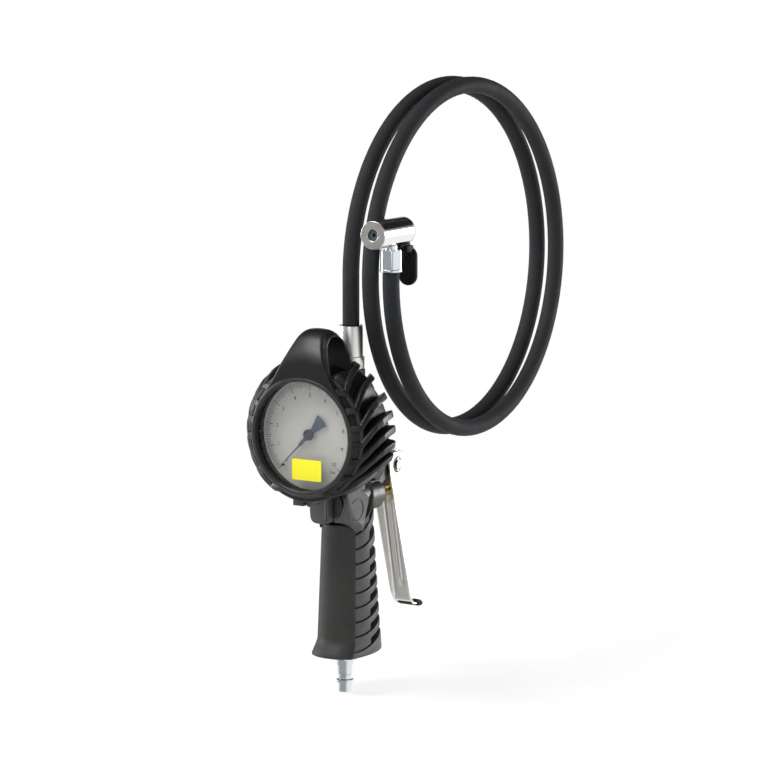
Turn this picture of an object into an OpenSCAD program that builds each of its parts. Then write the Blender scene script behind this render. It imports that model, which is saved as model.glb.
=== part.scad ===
// Hand tyre inflator: a pistol grip with an inflating lever, a dial gauge in a rubber boot,
// a coiled hose and a lever chuck. Millimetres, +Z up, the dial facing -Y, the lever at +Y.
// The origin is the lower end of the inlet plug, on its axis.

/* [Inlet plug] */
// Radius of the plug's nose
plug_nose_r = 4.75; // [4.5:0.05:4.95]
// Radius of the plug's locking ring
plug_ring_r = 6.2; // [6:0.1:6.6]
// Radius of the plug's body
plug_body_r = 5.45; // [5.2:0.05:5.7]
// Height at which the plug's hexagon starts
plug_hex_z = 23.5; // [21:0.5:25]
// Width across the flats of the plug's hexagon
plug_hex_af = 17; // [16:0.5:18]
// Radius of the air way through the plug
plug_bore_r = 2.75; // [2:0.25:3]

/* [Valve body] */
// Height of the valve axis above the plug's end
valve_z = 136.5; // [134:0.5:139]
// Height of the stem's lower end
stem_z = 31; // [29:0.5:33]
// Radius of the stem inside the grip
stem_r = 10.5; // [9.5:0.25:11]
// Radius of the valve chamber's front cup
cup_r = 12.5; // [12:0.25:13]
// Distance of the cup's front end ahead of the plug's axis
cup_y = 17; // [16:0.5:18]
// Radius of the valve chamber's rear arm
arm_r = 11; // [10:0.5:12]
// Distance of the arm's rear end behind the plug's axis
arm_y = 41; // [40:0.5:42]
// Distance of the hose column behind the plug's axis
column_y = 8.5; // [7.5:0.5:10]
// Radius of the hose column
column_r = 10; // [9:0.25:10.5]
// Height of the column's upper end
column_top = 229; // [224:0.5:232]

/* [Valve parts] */
// Radius of the plunger
plunger_r = 3; // [2.5:0.1:3.4]
// Radius of the brass guide's nose
guide_r = 4.4; // [4:0.1:5]
// Length of the guide's nose behind the arm
guide_nose = 6; // [4:0.25:7]
// Radius of the chamber in front of the valve seat
chamber_r = 7.5; // [7:0.25:8]
// Radius of the hole through the valve seat
seat_hole_r = 3.4; // [3:0.1:4]
// Radius of the bore for the plunger
bore_r = 6.5; // [6:0.1:7]
// Wire radius of the valve's spring
spring_wire = 0.5; // [0.4:0.05:0.6]

/* [Lever] */
// Distance of the lever's pivot behind the plug's axis
pivot_y = 57; // [56:0.5:58]
// Height of the lever's pivot
pivot_z = 155; // [154:0.5:156]
// Radius of the pivot pin
pin_r = 3; // [2.5:0.1:3.2]
// Width over the lever's flanges
lever_w = 14; // [13:0.25:15]
// Thickness of the lever's sheet
lever_t = 1.2; // [1:0.1:1.4]
// Height of the lever's lower end
lever_low_z = 51; // [47:0.5:60]

/* [Grip] */
// Height of the grip's lower end
grip_low_z = 27; // [25:0.5:29]
// Height of the front panel's upper end
grip_top_z = 122; // [118:0.5:122]
// Half width over the ribs at the grip's upper end
grip_top_a = 17.5; // [17:0.25:18.5]
// Half width over the ribs at the grip's lower end
grip_low_a = 19.5; // [18.5:0.25:20.5]
// Distance of the rear face behind the plug's axis at the upper end
grip_top_rear = 24.5; // [23:0.5:26]
// Distance of the rear face behind the plug's axis at the lower end
grip_low_rear = 37; // [33:0.5:39]
// Height of one rib and its groove
rib_pitch = 10.3; // [9.5:0.1:10.6]
// Thickness of a rib
rib_t = 4.2; // [3.5:0.1:5]
// Depth of the grooves between the ribs
rib_h = 4.4; // [3:0.1:5]
// Half width over the neck's cheeks
cheek_x = 17; // [16.5:0.25:18]
// Half width of the neck's nose, which covers the valve's cap
nose_x = 14.5; // [14:0.25:15]
// Distance of the nose's face ahead of the plug's axis
nose_y = 23; // [22:0.5:24]

/* [Gauge] */
// Height of the gauge case's lower edge above the valve axis
case_rise = 11; // [10:0.5:12]
// Distance of the dial's face ahead of the plug's axis
dial_y = 44; // [43:0.5:45]
// Outer radius of the gauge case
case_r = 42; // [41.5:0.25:42.5]
// Width of the bezel in front of the window
rim_w = 3.3; // [3:0.1:3.6]
// Depth of the gauge case behind the dial's face
case_depth = 30; // [29:0.5:31]
// Distance from the Bourdon tube's centre line to the case
bourdon_in = 12; // [11:0.5:13]
// Distance from the needle's tip to the bezel
needle_short = 5.7; // [5:0.1:8]
// Width of the label on the window
label_w = 24; // [20:0.5:26]
// Height of the label on the window
label_h = 14.7; // [12:0.1:16]
// Height of the label's middle above the lower edge of the view
label_up = 14.7; // [12:0.1:16]

/* [Boot] */
// Thickness of the boot over the case, in its grooves
boot_wall = 7; // [6:0.25:7.5]
// Height of the boot's ribs above its grooves
boot_rib_h = 6.5; // [4:0.25:7]
// Thickness of the boot's ribs
boot_rib_t = 4.6; // [4:0.1:5.5]
// Width of the boot's lip in front of the case
boot_lip = 4; // [3.5:0.1:5]
// Height of the top of the hanging loop
loop_top = 262; // [258:0.5:264]
// Outer radius of the loop's bend
loop_r = 22; // [21:0.5:23]
// Thickness of the loop's strap at its top
loop_t = 6; // [5:0.25:7]

/* [Hose] */
// Outer diameter of the hose
hose_d = 12; // [11:0.25:12.5]
// Inner diameter of the hose
hose_bore = 6.4; // [6:0.1:7]
// Radius of the hose coil's centre line
coil_r = 124; // [116:1:130]
// Width that one turn of the coil climbs along X
coil_pitch = 16.1; // [15.5:0.1:17]
// Number of turns of the coil
coil_turns = 2; // [2:1:3]
// Height of the coil's centre
coil_z = 298; // [296:1:300]
// Length of the crimp ferrule
ferrule_l = 22; // [20:0.5:24]
// Outer radius of the crimp ferrule
ferrule_r = 8.5; // [8.3:0.1:9]

/* [Chuck] */
// Radius of the chuck's barrel
chuck_r = 10; // [9.8:0.1:10]
// Distance of the chuck's face ahead of the plug's axis
chuck_front = 15.5; // [14.5:0.5:17]
// Length of the chuck's barrel with its face ring
chuck_l = 44; // [43:0.5:46]
// Radius of the opening for the tyre valve
valve_port_r = 4; // [3.9:0.05:4.2]
// Width across the flats of the hose nut
nut_af = 14; // [13.8:0.1:14.4]
// Height of the hose nut
nut_h = 17; // [16:0.5:18]
// Width of the thumb lever's paddle
paddle_w = 12; // [10:0.5:13]
// Height of the thumb lever's paddle
paddle_h = 26; // [22:0.5:28]

/* [Clearances] */
// Radial clearance of turning and sliding fits
run_gap = 0.05; // [0.02:0.01:0.08]
// Gap between pieces that move past each other
move_gap = 0.3; // [0.25:0.05:0.4]
// Gap round pieces that are only pushed into place
seat_gap = 0.1; // [0.05:0.05:0.2]

/* [Hidden] */
$fn = 64;
hull_fn = 32;
eps = 0.01;
far = 400;

// ---- colours ----
rubber = "#2b2b2c";
hose_black = "#333436";
plastic = "#4a4a49";
cast = "#5d5d5c";
zinc = "#c9d2d6";
steel = "#9c988f";
brass = "#c9a24a";
chrome = "#d8dadb";
dark = "#1f2123";

// ---- helpers ----

// Turns the children's +Z axis to +Y, from the plane at y
module along_y(y, x = 0, z = 0) {
    translate([x, y, z]) rotate([-90, 0, 0]) children();
}

// Stands a flat drawing up facing -Y, as the dial does, and thickens it forwards from y
module facing(y, x = 0, z = gauge_z) {
    translate([x, y, z]) rotate([90, 0, 0]) children();
}

// A ring about an axis along Y between two radii, from y0 to y1
module ring_y(y0, y1, r_out, r_in, x = 0, z = valve_z) {
    along_y(y0, x, z) difference() {
        cylinder(h = y1 - y0, r = r_out);
        translate([0, 0, -1]) cylinder(h = y1 - y0 + 2, r = r_in);
    }
}

// A flat drawing in the Y-Z plane, carried across X to half on both sides
module across(half) {
    translate([-half, 0, 0]) rotate([90, 0, 90]) linear_extrude(2 * half) children();
}

// A rod along X
module rod_x(half, r, y, z) {
    translate([-half, y, z]) rotate([0, 90, 0]) cylinder(h = 2 * half, r = r);
}

function mix(a, b, u) = a + (b - a) * u;
function unit(v) = v / norm(v);
function clamp01(u) = min(1, max(0, u));
function ease(u) = let (c = clamp01(u)) c * c * (3 - 2 * c);
function middle(ring) = [for (k = [0:2]) [for (p = ring) 1] * [for (p = ring) p[k]] / len(ring)];

// Triangles of a closed skin over rings of n points, with a centre point for each end
function skin_faces(rings, n) = concat(
    [for (i = [0:n - 1]) [rings * n, i, (i + 1) % n]],
    [for (k = [0:rings - 2], i = [0:n - 1], h = [0, 1])
        let (a = k * n + i, b = k * n + (i + 1) % n)
        h == 0 ? [a, b + n, b] : [a, a + n, b + n]],
    [for (i = [0:n - 1]) [rings * n + 1, (rings - 1) * n + (i + 1) % n, (rings - 1) * n + i]]);

// A closed solid through rings that all have as many points
module skin(rings) {
    last = len(rings) - 1;
    polyhedron(concat([for (ring = rings, p = ring) p], [middle(rings[0]), middle(rings[last])]),
        skin_faces(last + 1, len(rings[0])));
}

function tangent(path, i) = i == 0 ? unit(path[1] - path[0])
    : i == len(path) - 1 ? unit(path[i] - path[i - 1])
    : unit(unit(path[i + 1] - path[i]) + unit(path[i] - path[i - 1]));

// A round tube of radius r along a path; ref is a direction that the path never follows
module tube(path, r, sides, ref) {
    skin([for (i = [0:len(path) - 1])
        let (t = tangent(path, i), u = unit(cross(t, ref)), v = cross(t, u))
        [for (k = [0:sides - 1]) path[i] + r * (cos(360 * k / sides) * u + sin(360 * k / sides) * v)]]);
}

// A coil spring along Y from y0 to y1 about the axis through x, z
module spring_y(y0, y1, r, turns, wire, x, z) {
    rise = y1 - y0 - 2 * wire;
    path = [for (i = [0:8 * turns])
        [x + r * cos(45 * i), y0 + wire + rise * i / (8 * turns), z + r * sin(45 * i)]];
    tube(path, wire, 6, [0, 1, 0]);
}

// ---- places that several pieces share ----
gauge_z = valve_z + case_rise + case_r;
case_back = case_depth - dial_y;
plate_t = 0.8;
window_t = 2;
spacer_h = 4;
bezel_t = 2;
lip_h = 4.5;
boot_back_h = 7.3;
window_y = -dial_y - spacer_h - window_t;
bezel_y = window_y - bezel_t;
boot_front = bezel_y - lip_h;
boot_back = case_back + boot_back_h;
dial_view_r = case_r - rim_w;
boot_open_r = case_r - boot_lip;
needle_l = dial_view_r - needle_short;
bourdon_r = case_r - bourdon_in;

// ================= inlet plug and strainer =================
thread_r = 6.4;
thread_l = 10;
seal_t = 1;
plug_top = stem_z + thread_l;

module inlet_plug() {
    color(zinc) difference() {
        union() {
            rotate_extrude() polygon([[0, 0], [plug_nose_r, 0], [plug_nose_r, 6.2],
                [plug_ring_r, 6.6], [plug_ring_r, 8.6], [plug_nose_r, 9],
                [plug_nose_r, 12], [plug_body_r, 12.6], [plug_body_r, 19], [plug_ring_r, 19.2],
                [plug_ring_r, plug_hex_z], [0, plug_hex_z]]);
            translate([0, 0, plug_hex_z - eps])
                cylinder(h = stem_z - seal_t - plug_hex_z + eps, d = plug_hex_af / cos(30), $fn = 6);
            translate([0, 0, plug_hex_z]) cylinder(h = plug_top - plug_hex_z, r = thread_r);
        }
        translate([0, 0, -1]) cylinder(h = plug_top + 2, r = plug_bore_r);
    }
}

module plug_seal() {
    color(dark) translate([0, 0, stem_z - seal_t]) difference() {
        cylinder(h = seal_t, r = plug_hex_af / 2 - 0.1);
        translate([0, 0, -1]) cylinder(h = seal_t + 2, r = thread_r + seat_gap);
    }
}

inlet_r = 5;
flange_t = 0.5;
module inlet_strainer() {
    color(brass) translate([0, 0, plug_top]) difference() {
        union() {
            cylinder(h = flange_t, r = thread_r - 0.1);
            cylinder(h = 11, r = inlet_r - 0.3);
        }
        translate([0, 0, -1]) cylinder(h = 11, r = inlet_r - 1.1);
    }
}

// ================= valve body =================
seat_y = 6;
seat_t = 3;
outlet_y = 13;
outlet_r = 3;
hose_way_r = 4;
port_r = 6.6;
port_face = -4.5;
port_l = 9.5;
hose_port_l = 14;
lug_half = lever_w / 2 - lever_t - move_gap;
lug_r = 6.5;
case_gap = 0.6;

module lug_outline() {
    difference() {
        union() {
            polygon([[column_y + column_r, valve_z + 2], [column_y + column_r, valve_z + arm_r - 0.5],
                [arm_y - 4, valve_z + arm_r - 1], [pivot_y - 10, pivot_z + 1],
                [pivot_y - 4.5, pivot_z + 4.7],
                [pivot_y, pivot_z], [pivot_y - 4.6, pivot_z - 4.6], [arm_y - 2, valve_z + 6],
                [36, valve_z]]);
            translate([pivot_y, pivot_z]) circle(r = lug_r);
        }
        translate([pivot_y, pivot_z]) circle(r = pin_r);
    }
}

module valve_body() {
    color(cast) difference() {
        union() {
            translate([0, 0, stem_z]) cylinder(h = valve_z - stem_z, r = stem_r);
            along_y(-cup_y, 0, valve_z) rotate_extrude() polygon([[0, 0], [cup_r - 3, 0], [cup_r - 1, 1],
                [cup_r, 3.5], [cup_r, cup_y + 16], [arm_r, cup_y + 19], [arm_r, cup_y + arm_y - 5],
                [arm_r - 2, cup_y + arm_y - 1], [arm_r - 3.2, cup_y + arm_y], [0, cup_y + arm_y]]);
            translate([0, column_y, valve_z]) cylinder(h = column_top - valve_z, r = column_r);
            along_y(port_face, 0, gauge_z) cylinder(h = column_y - port_face, r = 9);
            across(lug_half) lug_outline();
        }
        // room for the gauge case above the cup
        along_y(-cup_y - 1, 0, gauge_z)
            cylinder(h = cup_y + 1 + case_back + 1.2, r = case_r + case_gap);
        // inlet thread and way
        translate([0, 0, stem_z - 1]) cylinder(h = thread_l + 1 + flange_t, r = thread_r + seat_gap);
        translate([0, 0, stem_z]) cylinder(h = valve_z - stem_z, r = inlet_r);
        // chamber, seat and plunger bore
        along_y(-cup_y - 1, 0, valve_z) cylinder(h = cup_y + 1 + seat_y, r = chamber_r);
        along_y(seat_y - 1, 0, valve_z) cylinder(h = seat_t + 2, r = seat_hole_r);
        along_y(seat_y + seat_t, 0, valve_z) cylinder(h = arm_y, r = bore_r);
        // ways to the gauge and to the hose
        translate([0, outlet_y, valve_z]) cylinder(h = gauge_z - valve_z + 6, r = outlet_r);
        along_y(port_face - 1, 0, gauge_z) cylinder(h = port_l + 1, r = port_r + seat_gap);
        along_y(0, 0, gauge_z) cylinder(h = outlet_y, r = 2);
        translate([0, column_y, column_top - hose_port_l]) cylinder(h = far, r = port_r + seat_gap);
        translate([0, column_y, gauge_z - 3]) cylinder(h = column_top - gauge_z, r = hose_way_r);
        // cross hole where the pin passes the lug
        rod_x(lever_w, pin_r, pivot_y, pivot_z);
    }
}

// ================= valve =================
cap_flange = 2;
cap_l = 8;
cap_in = cap_l - cup_y;
cap_front = -cup_y - cap_flange;
poppet_y = seat_y - 3.2;
poppet_r = 5.6;
poppet_pin_r = 2;
poppet_stem_r = 1.6;
poppet_stem_l = seat_t + 4.2;
groove_w = 1.8;
groove_d = 1.2;

module valve_cap() {
    color(cast) along_y(cap_front, 0, valve_z) difference() {
        union() {
            cylinder(h = cap_flange, r = chamber_r + 2.5);
            cylinder(h = cap_flange + cap_l, r = chamber_r - seat_gap);
        }
        translate([0, 0, -1]) cylinder(h = 3, d = 6 / cos(30), $fn = 6);
        translate([0, 0, 3.2]) cylinder(h = cap_l, r = poppet_pin_r + run_gap);
        translate([0, 0, cap_flange + cap_l - 4]) difference() {
            cylinder(h = groove_w, r = chamber_r + 1);
            cylinder(h = groove_w, r = chamber_r - groove_d);
        }
    }
}

module cap_ring() {
    y0 = cap_in - 4 + seat_gap;
    color(dark)
        ring_y(y0, y0 + groove_w - 2 * seat_gap, chamber_r - eps, chamber_r - groove_d + seat_gap / 2);
}

module valve_poppet() {
    pin_y = cap_in - 2.5;
    color(brass) {
        along_y(pin_y, 0, valve_z) cylinder(h = poppet_y - pin_y + 1, r = poppet_pin_r);
        along_y(poppet_y, 0, valve_z) cylinder(h = 2, r = poppet_r);
        along_y(poppet_y, 0, valve_z) cylinder(h = poppet_stem_l, r = poppet_stem_r);
    }
}

module poppet_disc() {
    color(dark) ring_y(poppet_y + 2, seat_y, poppet_r, poppet_stem_r + eps);
}

module poppet_spring() {
    color(zinc) spring_y(cap_in, poppet_y, 3.6, 5, spring_wire, 0, valve_z);
}

// ================= lever =================
// Outlines of the channel as [y, z] from the pivot; the web is the rear edge
foot = [20.8, lever_low_z - pivot_z + 2.5];
knee = [4.6, -27];
web_top = [[13, 3], [14.2, -4], [12, -10], [9.3, -15.5], [5.6, -23.2]];
web_out = concat(web_top, [knee, foot]);
web_in = [for (p = web_out) p - [lever_t + 0.1, 0]];
rim_low = [foot[0] - 2.6, lever_low_z - pivot_z];
lever_side = concat([[-9.8, 4.5], [-6.2, 8.5], [0, 9.5], [7.5, 8]], web_out,
    [[foot[0] - 0.2, lever_low_z - pivot_z], rim_low, [-3.8, -25], [-10, -3]]);
lever_hollow = concat([[-20, 14], [0, 14], [6.9, 7.4]], web_in,
    [[foot[0] - 2, lever_low_z - pivot_z - 5], [-20, lever_low_z - pivot_z - 5]]);
// Lip at the lower end, curled to the rear
lip_low = [[foot[0] - 1.3, 0], [foot[0] - 1.4, -3], [foot[0] - 0.6, -4.6], [26, -5.6], [33, -5.9],
    [33, -4.8], [26.2, -4.4], [foot[0] + 0.4, -3.4], [foot[0], -2], [foot[0], 0]];

module lever() {
    half = lever_w / 2;
    color(steel) difference() {
        translate([0, pivot_y, pivot_z]) union() {
            difference() {
                across(half) polygon(lever_side);
                across(half - lever_t) polygon(lever_hollow);
            }
            translate([0, 0, foot[1]]) across(half) polygon(lip_low);
        }
        rod_x(lever_w, pin_r + run_gap, pivot_y, pivot_z);
    }
}

tip_r = 2.2;
module lever_tip() {
    color(dark) difference() {
        translate([0, pivot_y, pivot_z + foot[1] - 5.2]) across(lever_w / 2 - 1) hull() {
            translate([27.5, 0.4]) circle(r = tip_r - 0.4, $fn = hull_fn);
            translate([33.2, -0.1]) circle(r = tip_r, $fn = hull_fn);
        }
        lever();
    }
}

// Place of the plunger's round end: it stays move_gap in front of the web
web_dir = unit(web_in[3] - web_in[4]);
web_far = (valve_z - pivot_z - web_in[4][1]) * web_dir[0] - (0 - web_in[4][0]) * web_dir[1];
plunger_ball = pivot_y + (web_far - plunger_r - move_gap) / web_dir[1];
plunger_y = poppet_y + poppet_stem_l + move_gap;
piston_l = 3.7;
guide_in = 24;
piston_y0 = guide_in - move_gap - piston_l;
ring_in = (piston_l - groove_w) / 2;
module plunger() {
    color(brass) difference() {
        union() {
            along_y(plunger_y, 0, valve_z) cylinder(h = plunger_ball - plunger_y, r = plunger_r);
            translate([0, plunger_ball, valve_z]) sphere(r = plunger_r);
            along_y(piston_y0, 0, valve_z) cylinder(h = piston_l, r = bore_r - run_gap);
        }
        along_y(piston_y0 + ring_in, 0, valve_z) difference() {
            cylinder(h = groove_w, r = bore_r + 1);
            cylinder(h = groove_w, r = bore_r - groove_d);
        }
    }
}

module plunger_ring() {
    y0 = piston_y0 + ring_in + seat_gap;
    color(dark) ring_y(y0, y0 + groove_w - 2 * seat_gap, bore_r - eps, bore_r - groove_d + seat_gap / 2);
}

module plunger_guide() {
    color(brass) along_y(guide_in, 0, valve_z) difference() {
        union() {
            cylinder(h = arm_y - guide_in, r = bore_r - eps);
            cylinder(h = arm_y - guide_in + guide_nose, r = guide_r);
        }
        translate([0, 0, -1]) cylinder(h = far, r = plunger_r + run_gap);
    }
}

clip_t = 0.9;
clip_x = lever_w / 2 + 0.4;
pin_half = clip_x + clip_t + 1.3;
clip_in_r = pin_r - 0.6;
module lever_pin() {
    color(zinc) difference() {
        rod_x(pin_half, pin_r - eps, pivot_y, pivot_z);
        for (x = [-clip_x - clip_t - 0.05, clip_x - 0.05])
            translate([x, pivot_y, pivot_z]) rotate([0, 90, 0]) difference() {
                cylinder(h = clip_t + 0.1, r = pin_r + 1);
                translate([0, 0, -1]) cylinder(h = clip_t + 3, r = clip_in_r - 0.05);
            }
    }
}

module retaining_clips() {
    color(dark) for (x = [-clip_x - clip_t, clip_x])
        translate([x, pivot_y, pivot_z]) rotate([90, 0, 90]) linear_extrude(clip_t) difference() {
            circle(r = pin_r + 3);
            circle(r = clip_in_r);
            translate([0, 0.35 - pin_r]) square([10, 2 * pin_r - 0.7]);
            for (a = [72, -72]) rotate(a) translate([pin_r + 1.2, 0]) circle(r = 1.1, $fn = 24);
        }
}

// ================= grip =================
front_steps = 8;
side_steps = 4;
rear_steps = 14;
middle_y = 3.5;
flare_h = 13;
corner_in = 4;
flare_in = 2.4;
corner_low_y = 12.9;
corner_top_y = 8.9;
front_low_y = 18;
front_top_y = 15;
flare_out = 4.7;
flare_front = 6;
rib_front_y = 20;
rib_rear_y = 42;
rib_rise = 12;
rib_sweep = 40;
rib_foot = 5.3;

function grip_u(z) = clamp01((z - grip_low_z) / (grip_top_z - grip_low_z));
function half_width(z) = mix(grip_low_a, grip_top_a, grip_u(z));
function rear_y(z) = mix(grip_low_rear, grip_top_rear, pow(grip_u(z), 0.9));
// The lowest stretch of the front flares out
function flare(z) = 1 - ease((z - grip_low_z) / flare_h);
function corner_x(z) = half_width(z) - corner_in + (corner_in - flare_in) * flare(z);
function corner_y(z) = -mix(corner_low_y, corner_top_y, grip_u(z)) - flare_out * flare(z);
function front_y(z) = -mix(front_low_y, front_top_y, grip_u(z)) - flare_front * flare(z);

// Outline of the grip at height z, drawn in by inset at the sides and the rear
function grip_ring(z, inset) = let (
    a = half_width(z) - 0.75 * inset, b = rear_y(z) - inset - middle_y,
    cx = corner_x(z) - 0.25 * inset, cy = corner_y(z), fy = front_y(z),
    side = [for (i = [1:side_steps]) let (s = 1 - i / side_steps)
        [a - (a - cx) * s * s, mix(middle_y, cy, s)]])
    concat(
        [for (i = [0:front_steps]) let (u = i / front_steps * 2 - 1)
            [cx * u, mix(fy, cy, pow(abs(u), 2.4)), z]],
        [for (p = side) [p[0], p[1], z]],
        [for (i = [1:rear_steps - 1]) let (t = 180 * i / rear_steps)
            [a * cos(t), middle_y + b * sin(t), z]],
        [for (i = [side_steps - 1:-1:0]) [-side[i][0], side[i][1], z]]);

flare_levels = [for (i = [0:5]) grip_low_z + flare_h * i / 5];
upper_levels = [for (i = [1:6]) mix(grip_low_z + flare_h, grip_top_z, i / 6)];
grip_levels = concat(flare_levels, upper_levels);

module grip_form(inset) {
    skin([for (z = grip_levels) grip_ring(z, inset)]);
}

// Side view of one rib: a rising strip whose rear part sweeps up by sweep
rib_steps = 12;
function rib_line(z0, sweep) = [for (i = [0:rib_steps]) let (u = i / rib_steps)
    [mix(-rib_front_y, rib_rear_y, u),
        z0 + rib_rise * ease((u - 0.12) / 0.9) + sweep * pow(max(0, u - 0.15), 1.6)]];
function rib_side(z0, sweep) = let (low = rib_line(z0, sweep), top = rib_line(z0 + rib_t, sweep))
    concat(low, [for (i = [rib_steps:-1:0]) top[i]]);
rib_count = floor((grip_top_z - grip_low_z) / rib_pitch);
rib_low = grip_low_z + rib_foot;

module ribs() {
    for (k = [0:rib_count - 1])
        across(grip_low_a + 1)
            polygon(rib_side(rib_low + k * rib_pitch, k < rib_count - 2 ? 0 : rib_sweep));
}

// Side view of the neck's cheeks, up to the boot
cheek_top = gauge_z - case_r - 2.5;
cheek_side = [[corner_y(grip_top_z), grip_top_z + 1], [-13, grip_top_z + 2], [3 - nose_y, valve_z - 1.5],
    [-nose_y, cheek_top - 1], [-nose_y, cheek_top + 6], [-5, cheek_top + 6],
    [-4.5, cheek_top + 1], [1.5, valve_z + 2.5], [9, valve_z - 1], [15.5, valve_z - 6],
    [17.5, grip_top_z], [20, grip_top_z - 10], [8, grip_top_z - 22],
    [1, grip_top_z - 12], [-3, grip_top_z - 4]];

// Nose between the cheeks, with an upright bar in its middle and a pocket beside the bar
nose_low = 14;
nose_round = 6;
nose_deep = 16;
bar_x = 2;
bar_h = 1.2;
pocket_h = 2.6;
module nose() {
    difference() {
        facing(nose_deep - nose_y, 0, valve_z) linear_extrude(nose_deep) hull() {
            for (s = [-1, 1]) translate([s * (nose_x - nose_round), nose_round - nose_low])
                circle(r = nose_round, $fn = hull_fn);
            translate([-nose_x, 0]) square([2 * nose_x, nose_low]);
        }
        facing(pocket_h - nose_y, 0, valve_z) linear_extrude(far)
            polygon([[bar_x, far], [bar_x, -8.5], [9.3, -11.5], [nose_x - 1.5, 0], [nose_x + 1.5, 9],
                [nose_x + 1.5, far]]);
    }
    facing(bar_x - nose_y, 0, valve_z) linear_extrude(bar_x + bar_h)
        polygon([[-bar_x, nose_low], [-bar_x, -9], [0, -12], [bar_x, -9], [bar_x, nose_low]]);
}

// The front panel's share of the grip, seen from the side
zone_y = -2 * (front_low_y + flare_front);
front_zone = concat([[zone_y, 0], [corner_y(grip_low_z), 0]],
    [for (z = grip_levels) [corner_y(z), z]], [[zone_y, grip_top_z]]);

screw_x = 12;
screw_r = 1.2;
screw_head_r = 1.8;
screw_head_h = 1.3;
screw_l = 18.5;
screw_in = 1;
boss_r = 2.2;
boss_l = 3;
screw_heights = [for (k = [1, 5]) rib_low + (k + 0.8) * rib_pitch];
module at_screws() {
    for (z = screw_heights, s = [-1, 1]) along_y(corner_y(z) + screw_in, s * screw_x, z) children();
}

// Bosses of the front panel that take the screws' ends, grown by gap
module bosses(gap) {
    at_screws() translate([0, 0, -screw_in]) cylinder(h = screw_in + boss_l + gap, r = boss_r + gap);
}

// Room for the valve, the gauge's boot and the screws
module grip_rooms() {
    translate([0, 0, grip_low_z - 1]) cylinder(h = far, r = stem_r + seat_gap);
    along_y(cap_front - seat_gap, 0, valve_z) cylinder(h = cup_y + 18, r = cup_r + seat_gap);
    along_y(10, 0, valve_z) cylinder(h = 40, r = arm_r + 2);
    translate([-arm_r - 1, cap_front - seat_gap, valve_z]) cube([2 * arm_r + 2, 60, 40]);
    along_y(0, 0, gauge_z) rotate_extrude($fn = 96) polygon(closed_profile(grown(groove_profile, move_gap)));
    at_screws() {
        cylinder(h = 2 * screw_l, r = screw_r);
        translate([0, 0, screw_l - screw_head_h - seat_gap])
            cylinder(h = 2 * screw_l, r = screw_head_r + seat_gap);
    }
}

module grip_rear() {
    color(plastic) difference() {
        union() {
            difference() {
                union() {
                    grip_form(rib_h);
                    intersection() {
                        grip_form(0);
                        ribs();
                    }
                }
                across(2 * grip_low_a) polygon(front_zone);
            }
            across(cheek_x) polygon(cheek_side);
            nose();
        }
        grip_rooms();
        bosses(seat_gap);
    }
}

module grip_front() {
    color(plastic) difference() {
        union() {
            intersection() {
                grip_form(0);
                across(2 * grip_low_a) polygon(front_zone);
            }
            bosses(0);
        }
        grip_rooms();
    }
}

module grip_screws() {
    color(zinc) at_screws() {
        cylinder(h = screw_l, r = screw_r - eps);
        translate([0, 0, screw_l - screw_head_h]) cylinder(h = screw_head_h, r = screw_head_r);
    }
}

// ================= gauge boot =================
lip_r = boot_open_r + 3.4;
groove_r = case_r + boot_wall;
rib_r = groove_r + boot_rib_h;
notch_half = nose_x + 0.5;

// Outer profiles as [radius, y], from the lip to the back
groove_profile = [[lip_r, boot_front + 1], [lip_r + 0.4, boot_front + 3.5],
    [groove_r - 5.6, boot_front + 4.5],
    [groove_r - 3, -47], [groove_r - 1.2, -41], [groove_r, -33], [groove_r, -24], [groove_r - 1.6, -17],
    [groove_r - 5, -11], [groove_r - 9, boot_back]];
rib_profile = [[lip_r, boot_front + 2.5], [rib_r - 7.9, -51.5], [rib_r - 4, -46.5], [rib_r - 1.5, -41],
    [rib_r, -35], [rib_r, -28], [rib_r - 1.9, -20], [rib_r - 5.5, -14], [rib_r - 10, -9],
    [rib_r - 13.5, boot_back]];

function grown(profile, d) = [for (p = profile) [p[0] + d, p[1]]];
function closed_profile(profile) =
    concat([[0, profile[0][1]]], profile, [[0, profile[len(profile) - 1][1]]]);

module turned(profile) {
    along_y(0, 0, gauge_z) rotate_extrude($fn = 96) polygon(closed_profile(profile));
}

// Side view of rib k: level at the front, then rising to the rear, from the dial's centre height
boot_rib_count = 7;
rib_front_step = 12.1;
rib_rear_step = 10;
function boot_rib(k) = let (zf = 34.4 - rib_front_step * k, zr = 47.7 - rib_rear_step * k,
    slope = (zr - zf) / 26, t = boot_rib_t / 2)
    [[-58, zf - t], [-45.6, zf - t], [0, zf + slope * 46 - t * 1.2], [0, zf + slope * 46 + t * 1.2],
    [-46.6, zf + t], [-58, zf + t]];

// Hanging loop, seen from the side
loop_y = -33.5;
loop_hole_r = 13;
// Height at which the loop's foot ends in the boot
loop_base = gauge_z + 15.5;
loop_h = loop_top - loop_base;
module loop_outline() {
    hull() {
        translate([loop_y, loop_top - loop_r]) circle(r = loop_r, $fn = hull_fn);
        translate([loop_y - loop_r, loop_base + 7]) square([2 * loop_r, 9]);
    }
}
module loop_hole() {
    hull() {
        translate([loop_y + 2, loop_top - loop_t - loop_hole_r]) circle(r = loop_hole_r, $fn = hull_fn);
        translate([loop_y - 11.5, gauge_z + 39.5]) circle(r = 5, $fn = hull_fn);
    }
}
// Half widths of the loop, as [half width, share of the way down to its foot]
loop_widths = [[6.5, 0], [10, 0.053], [13, 0.193], [16, 0.316], [18.5, 0.404], [21.5, 0.509], [27, 0.667],
    [33, 0.825], [36, 1]];
loop_front = concat([for (p = loop_widths) [p[0], loop_top - p[1] * loop_h]],
    [for (i = [len(loop_widths) - 1:-1:0]) [-loop_widths[i][0], loop_top - loop_widths[i][1] * loop_h]]);

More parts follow.
